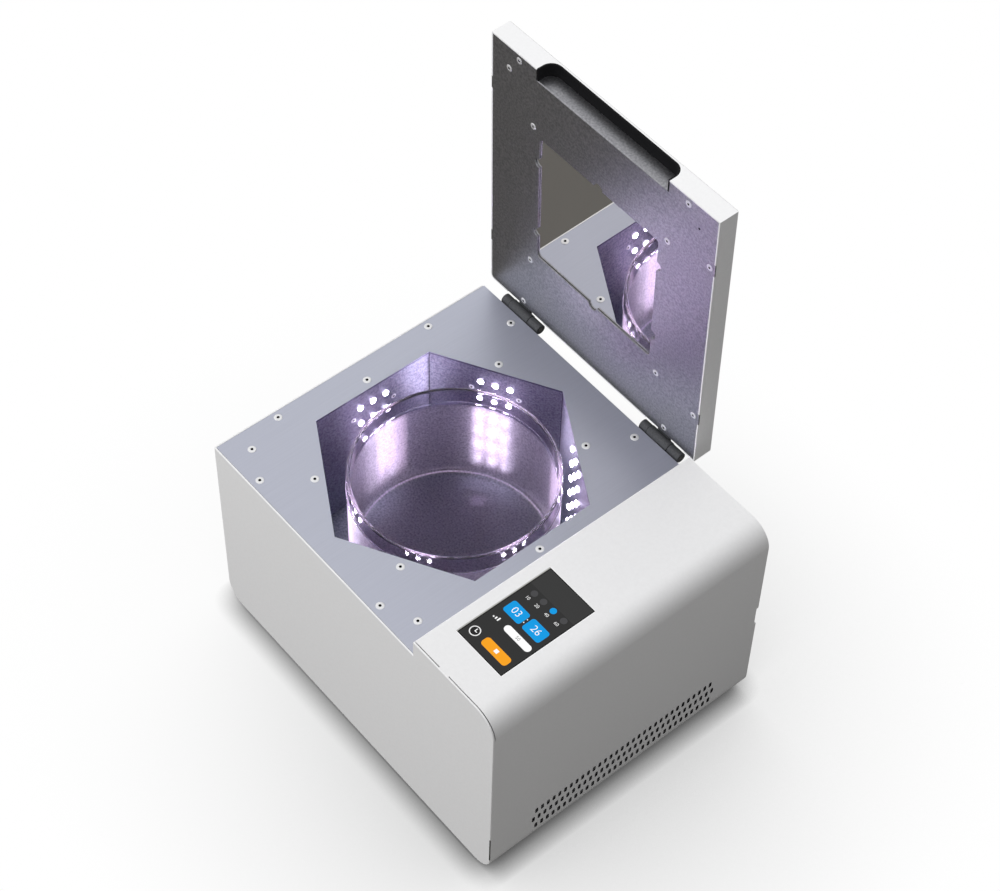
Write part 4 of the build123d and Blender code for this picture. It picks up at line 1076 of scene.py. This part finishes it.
def make_floor():
    """A white floor under the unit with a painted shadow round its base, taken from occlusion and not from
    the lamps; metal sees it as plain grey.
    """
    shape = bmesh.new()
    corners = [(x * FLOOR_REACH, y * FLOOR_REACH) for x, y in ((-1, -1), (1, -1), (1, 1), (-1, 1))]
    shape.faces.new([shape.verts.new((x, y, 0)) for x, y in corners])
    mesh = mesh_of(shape, "studio_floor")
    floor = bpy.data.objects.new("studio_floor", mesh)
    bpy.context.scene.collection.objects.link(floor)
    material, tree = new_finish("studio_floor")
    seen, _ = seen_directly(tree)
    # Painted shadow: occlusion darkens the floor's emission round the unit, more on its right than its left.
    wide = add(tree, "ShaderNodeAmbientOcclusion", {"Distance": SHADOW_WIDTH}, samples=16)
    close = add(tree, "ShaderNodeAmbientOcclusion", {"Distance": CONTACT_WIDTH}, samples=16)
    where = add(tree, "ShaderNodeTexCoord")
    place = add(tree, "ShaderNodeSeparateXYZ", {"Vector": where.outputs["Object"]})
    lee = add(
        tree,
        "ShaderNodeMapRange",
        {
            "Value": place.outputs["X"],
            "From Min": SHADOW_SIDES[0],
            "From Max": SHADOW_SIDES[1],
            "To Min": SHADOW_LEFT,
            "To Max": SHADOW_RIGHT,
        },
    )
    soft = add(tree, "ShaderNodeMath", {0: wide.outputs["AO"], 1: lee.outputs[0]}, operation="POWER")
    contact = add(
        tree, "ShaderNodeMath", {0: close.outputs["AO"], 1: CONTACT_DARKNESS}, operation="POWER"
    )
    shade = add(tree, "ShaderNodeMath", {0: soft.outputs[0], 1: contact.outputs[0]}, operation="MULTIPLY")
    white = add(tree, "ShaderNodeEmission", {"Color": linear("#FFFFFF"), "Strength": shade.outputs[0]})
    ground = add(tree, "ShaderNodeBsdfDiffuse", {"Color": linear("#6E6C68")})
    mixed = add(tree, "ShaderNodeMixShader", {0: seen, 1: ground.outputs[0], 2: white.outputs[0]})
    add(tree, "ShaderNodeOutputMaterial", {"Surface": mixed.outputs[0]})
    mesh.materials.append(material)


def make_world():
    """White behind the unit, a softer white for what its metal and paint see."""
    world = bpy.data.worlds.new("studio")
    bpy.context.scene.world = world
    world.use_nodes = True
    tree = world.node_tree
    tree.nodes.clear()
    seen, path = seen_directly(tree)
    metal = add(
        tree, "ShaderNodeMath", {0: path.outputs["Is Glossy Ray"], 1: ROOM_IN_METAL}, operation="MULTIPLY"
    )
    shown = add(tree, "ShaderNodeMath", {0: seen, 1: metal.outputs[0]}, operation="MAXIMUM")
    strength = add(tree, "ShaderNodeMath", {0: shown.outputs[0], 1: ROOM_LIGHT}, operation="MAXIMUM")
    sky = add(
        tree, "ShaderNodeBackground", {"Color": linear("#FFFFFF"), "Strength": strength.outputs[0]}
    )
    add(tree, "ShaderNodeOutputWorld", {"Surface": sky.outputs[0]})


def make_softboxes():
    """Square soft lamps that all look at the middle of the unit; its metal sees only the room."""
    middle = Vector(SOFTBOX_AIM)
    for name, way, width, distance, power in SOFTBOXES:
        lamp = bpy.data.lights.new(name, "AREA")
        lamp.size = width
        lamp.energy = power
        box = bpy.data.objects.new(name, lamp)
        bpy.context.scene.collection.objects.link(box)
        direction = Vector(way).normalized()
        box.location = middle + direction * distance
        box.rotation_euler = direction.to_track_quat("Z", "Y").to_euler()
        box.visible_glossy = False


def make_camera():
    """The photograph's viewpoint: above the unit's right front corner."""
    camera = bpy.data.cameras.new("photo_camera")
    camera.sensor_width = 36.0
    camera.lens = CAMERA_LENS
    camera.clip_end = 20.0
    holder = bpy.data.objects.new("photo_camera", camera)
    bpy.context.scene.collection.objects.link(holder)
    turn = Matrix.Rotation(math.radians(CAMERA_TURN), 4, "Z")
    tilt = Matrix.Rotation(math.radians(90 - CAMERA_DROP), 4, "X")
    roll = Matrix.Rotation(math.radians(CAMERA_ROLL), 4, "Z")
    holder.matrix_world = Matrix.Translation(CAMERA_PLACE) @ turn @ tilt @ roll
    bpy.context.scene.camera = holder


finish_nodes()
make_vent_corners()
make_rear_screws()
make_led_lenses()
make_board_screws()
make_wall_seams()
make_deck_screws()
make_lid_screws()
make_hinge_bands()
make_dish()
make_display()
make_floor()
make_world()
make_softboxes()
make_camera()
bpy.context.scene.view_settings.view_transform = "Standard"
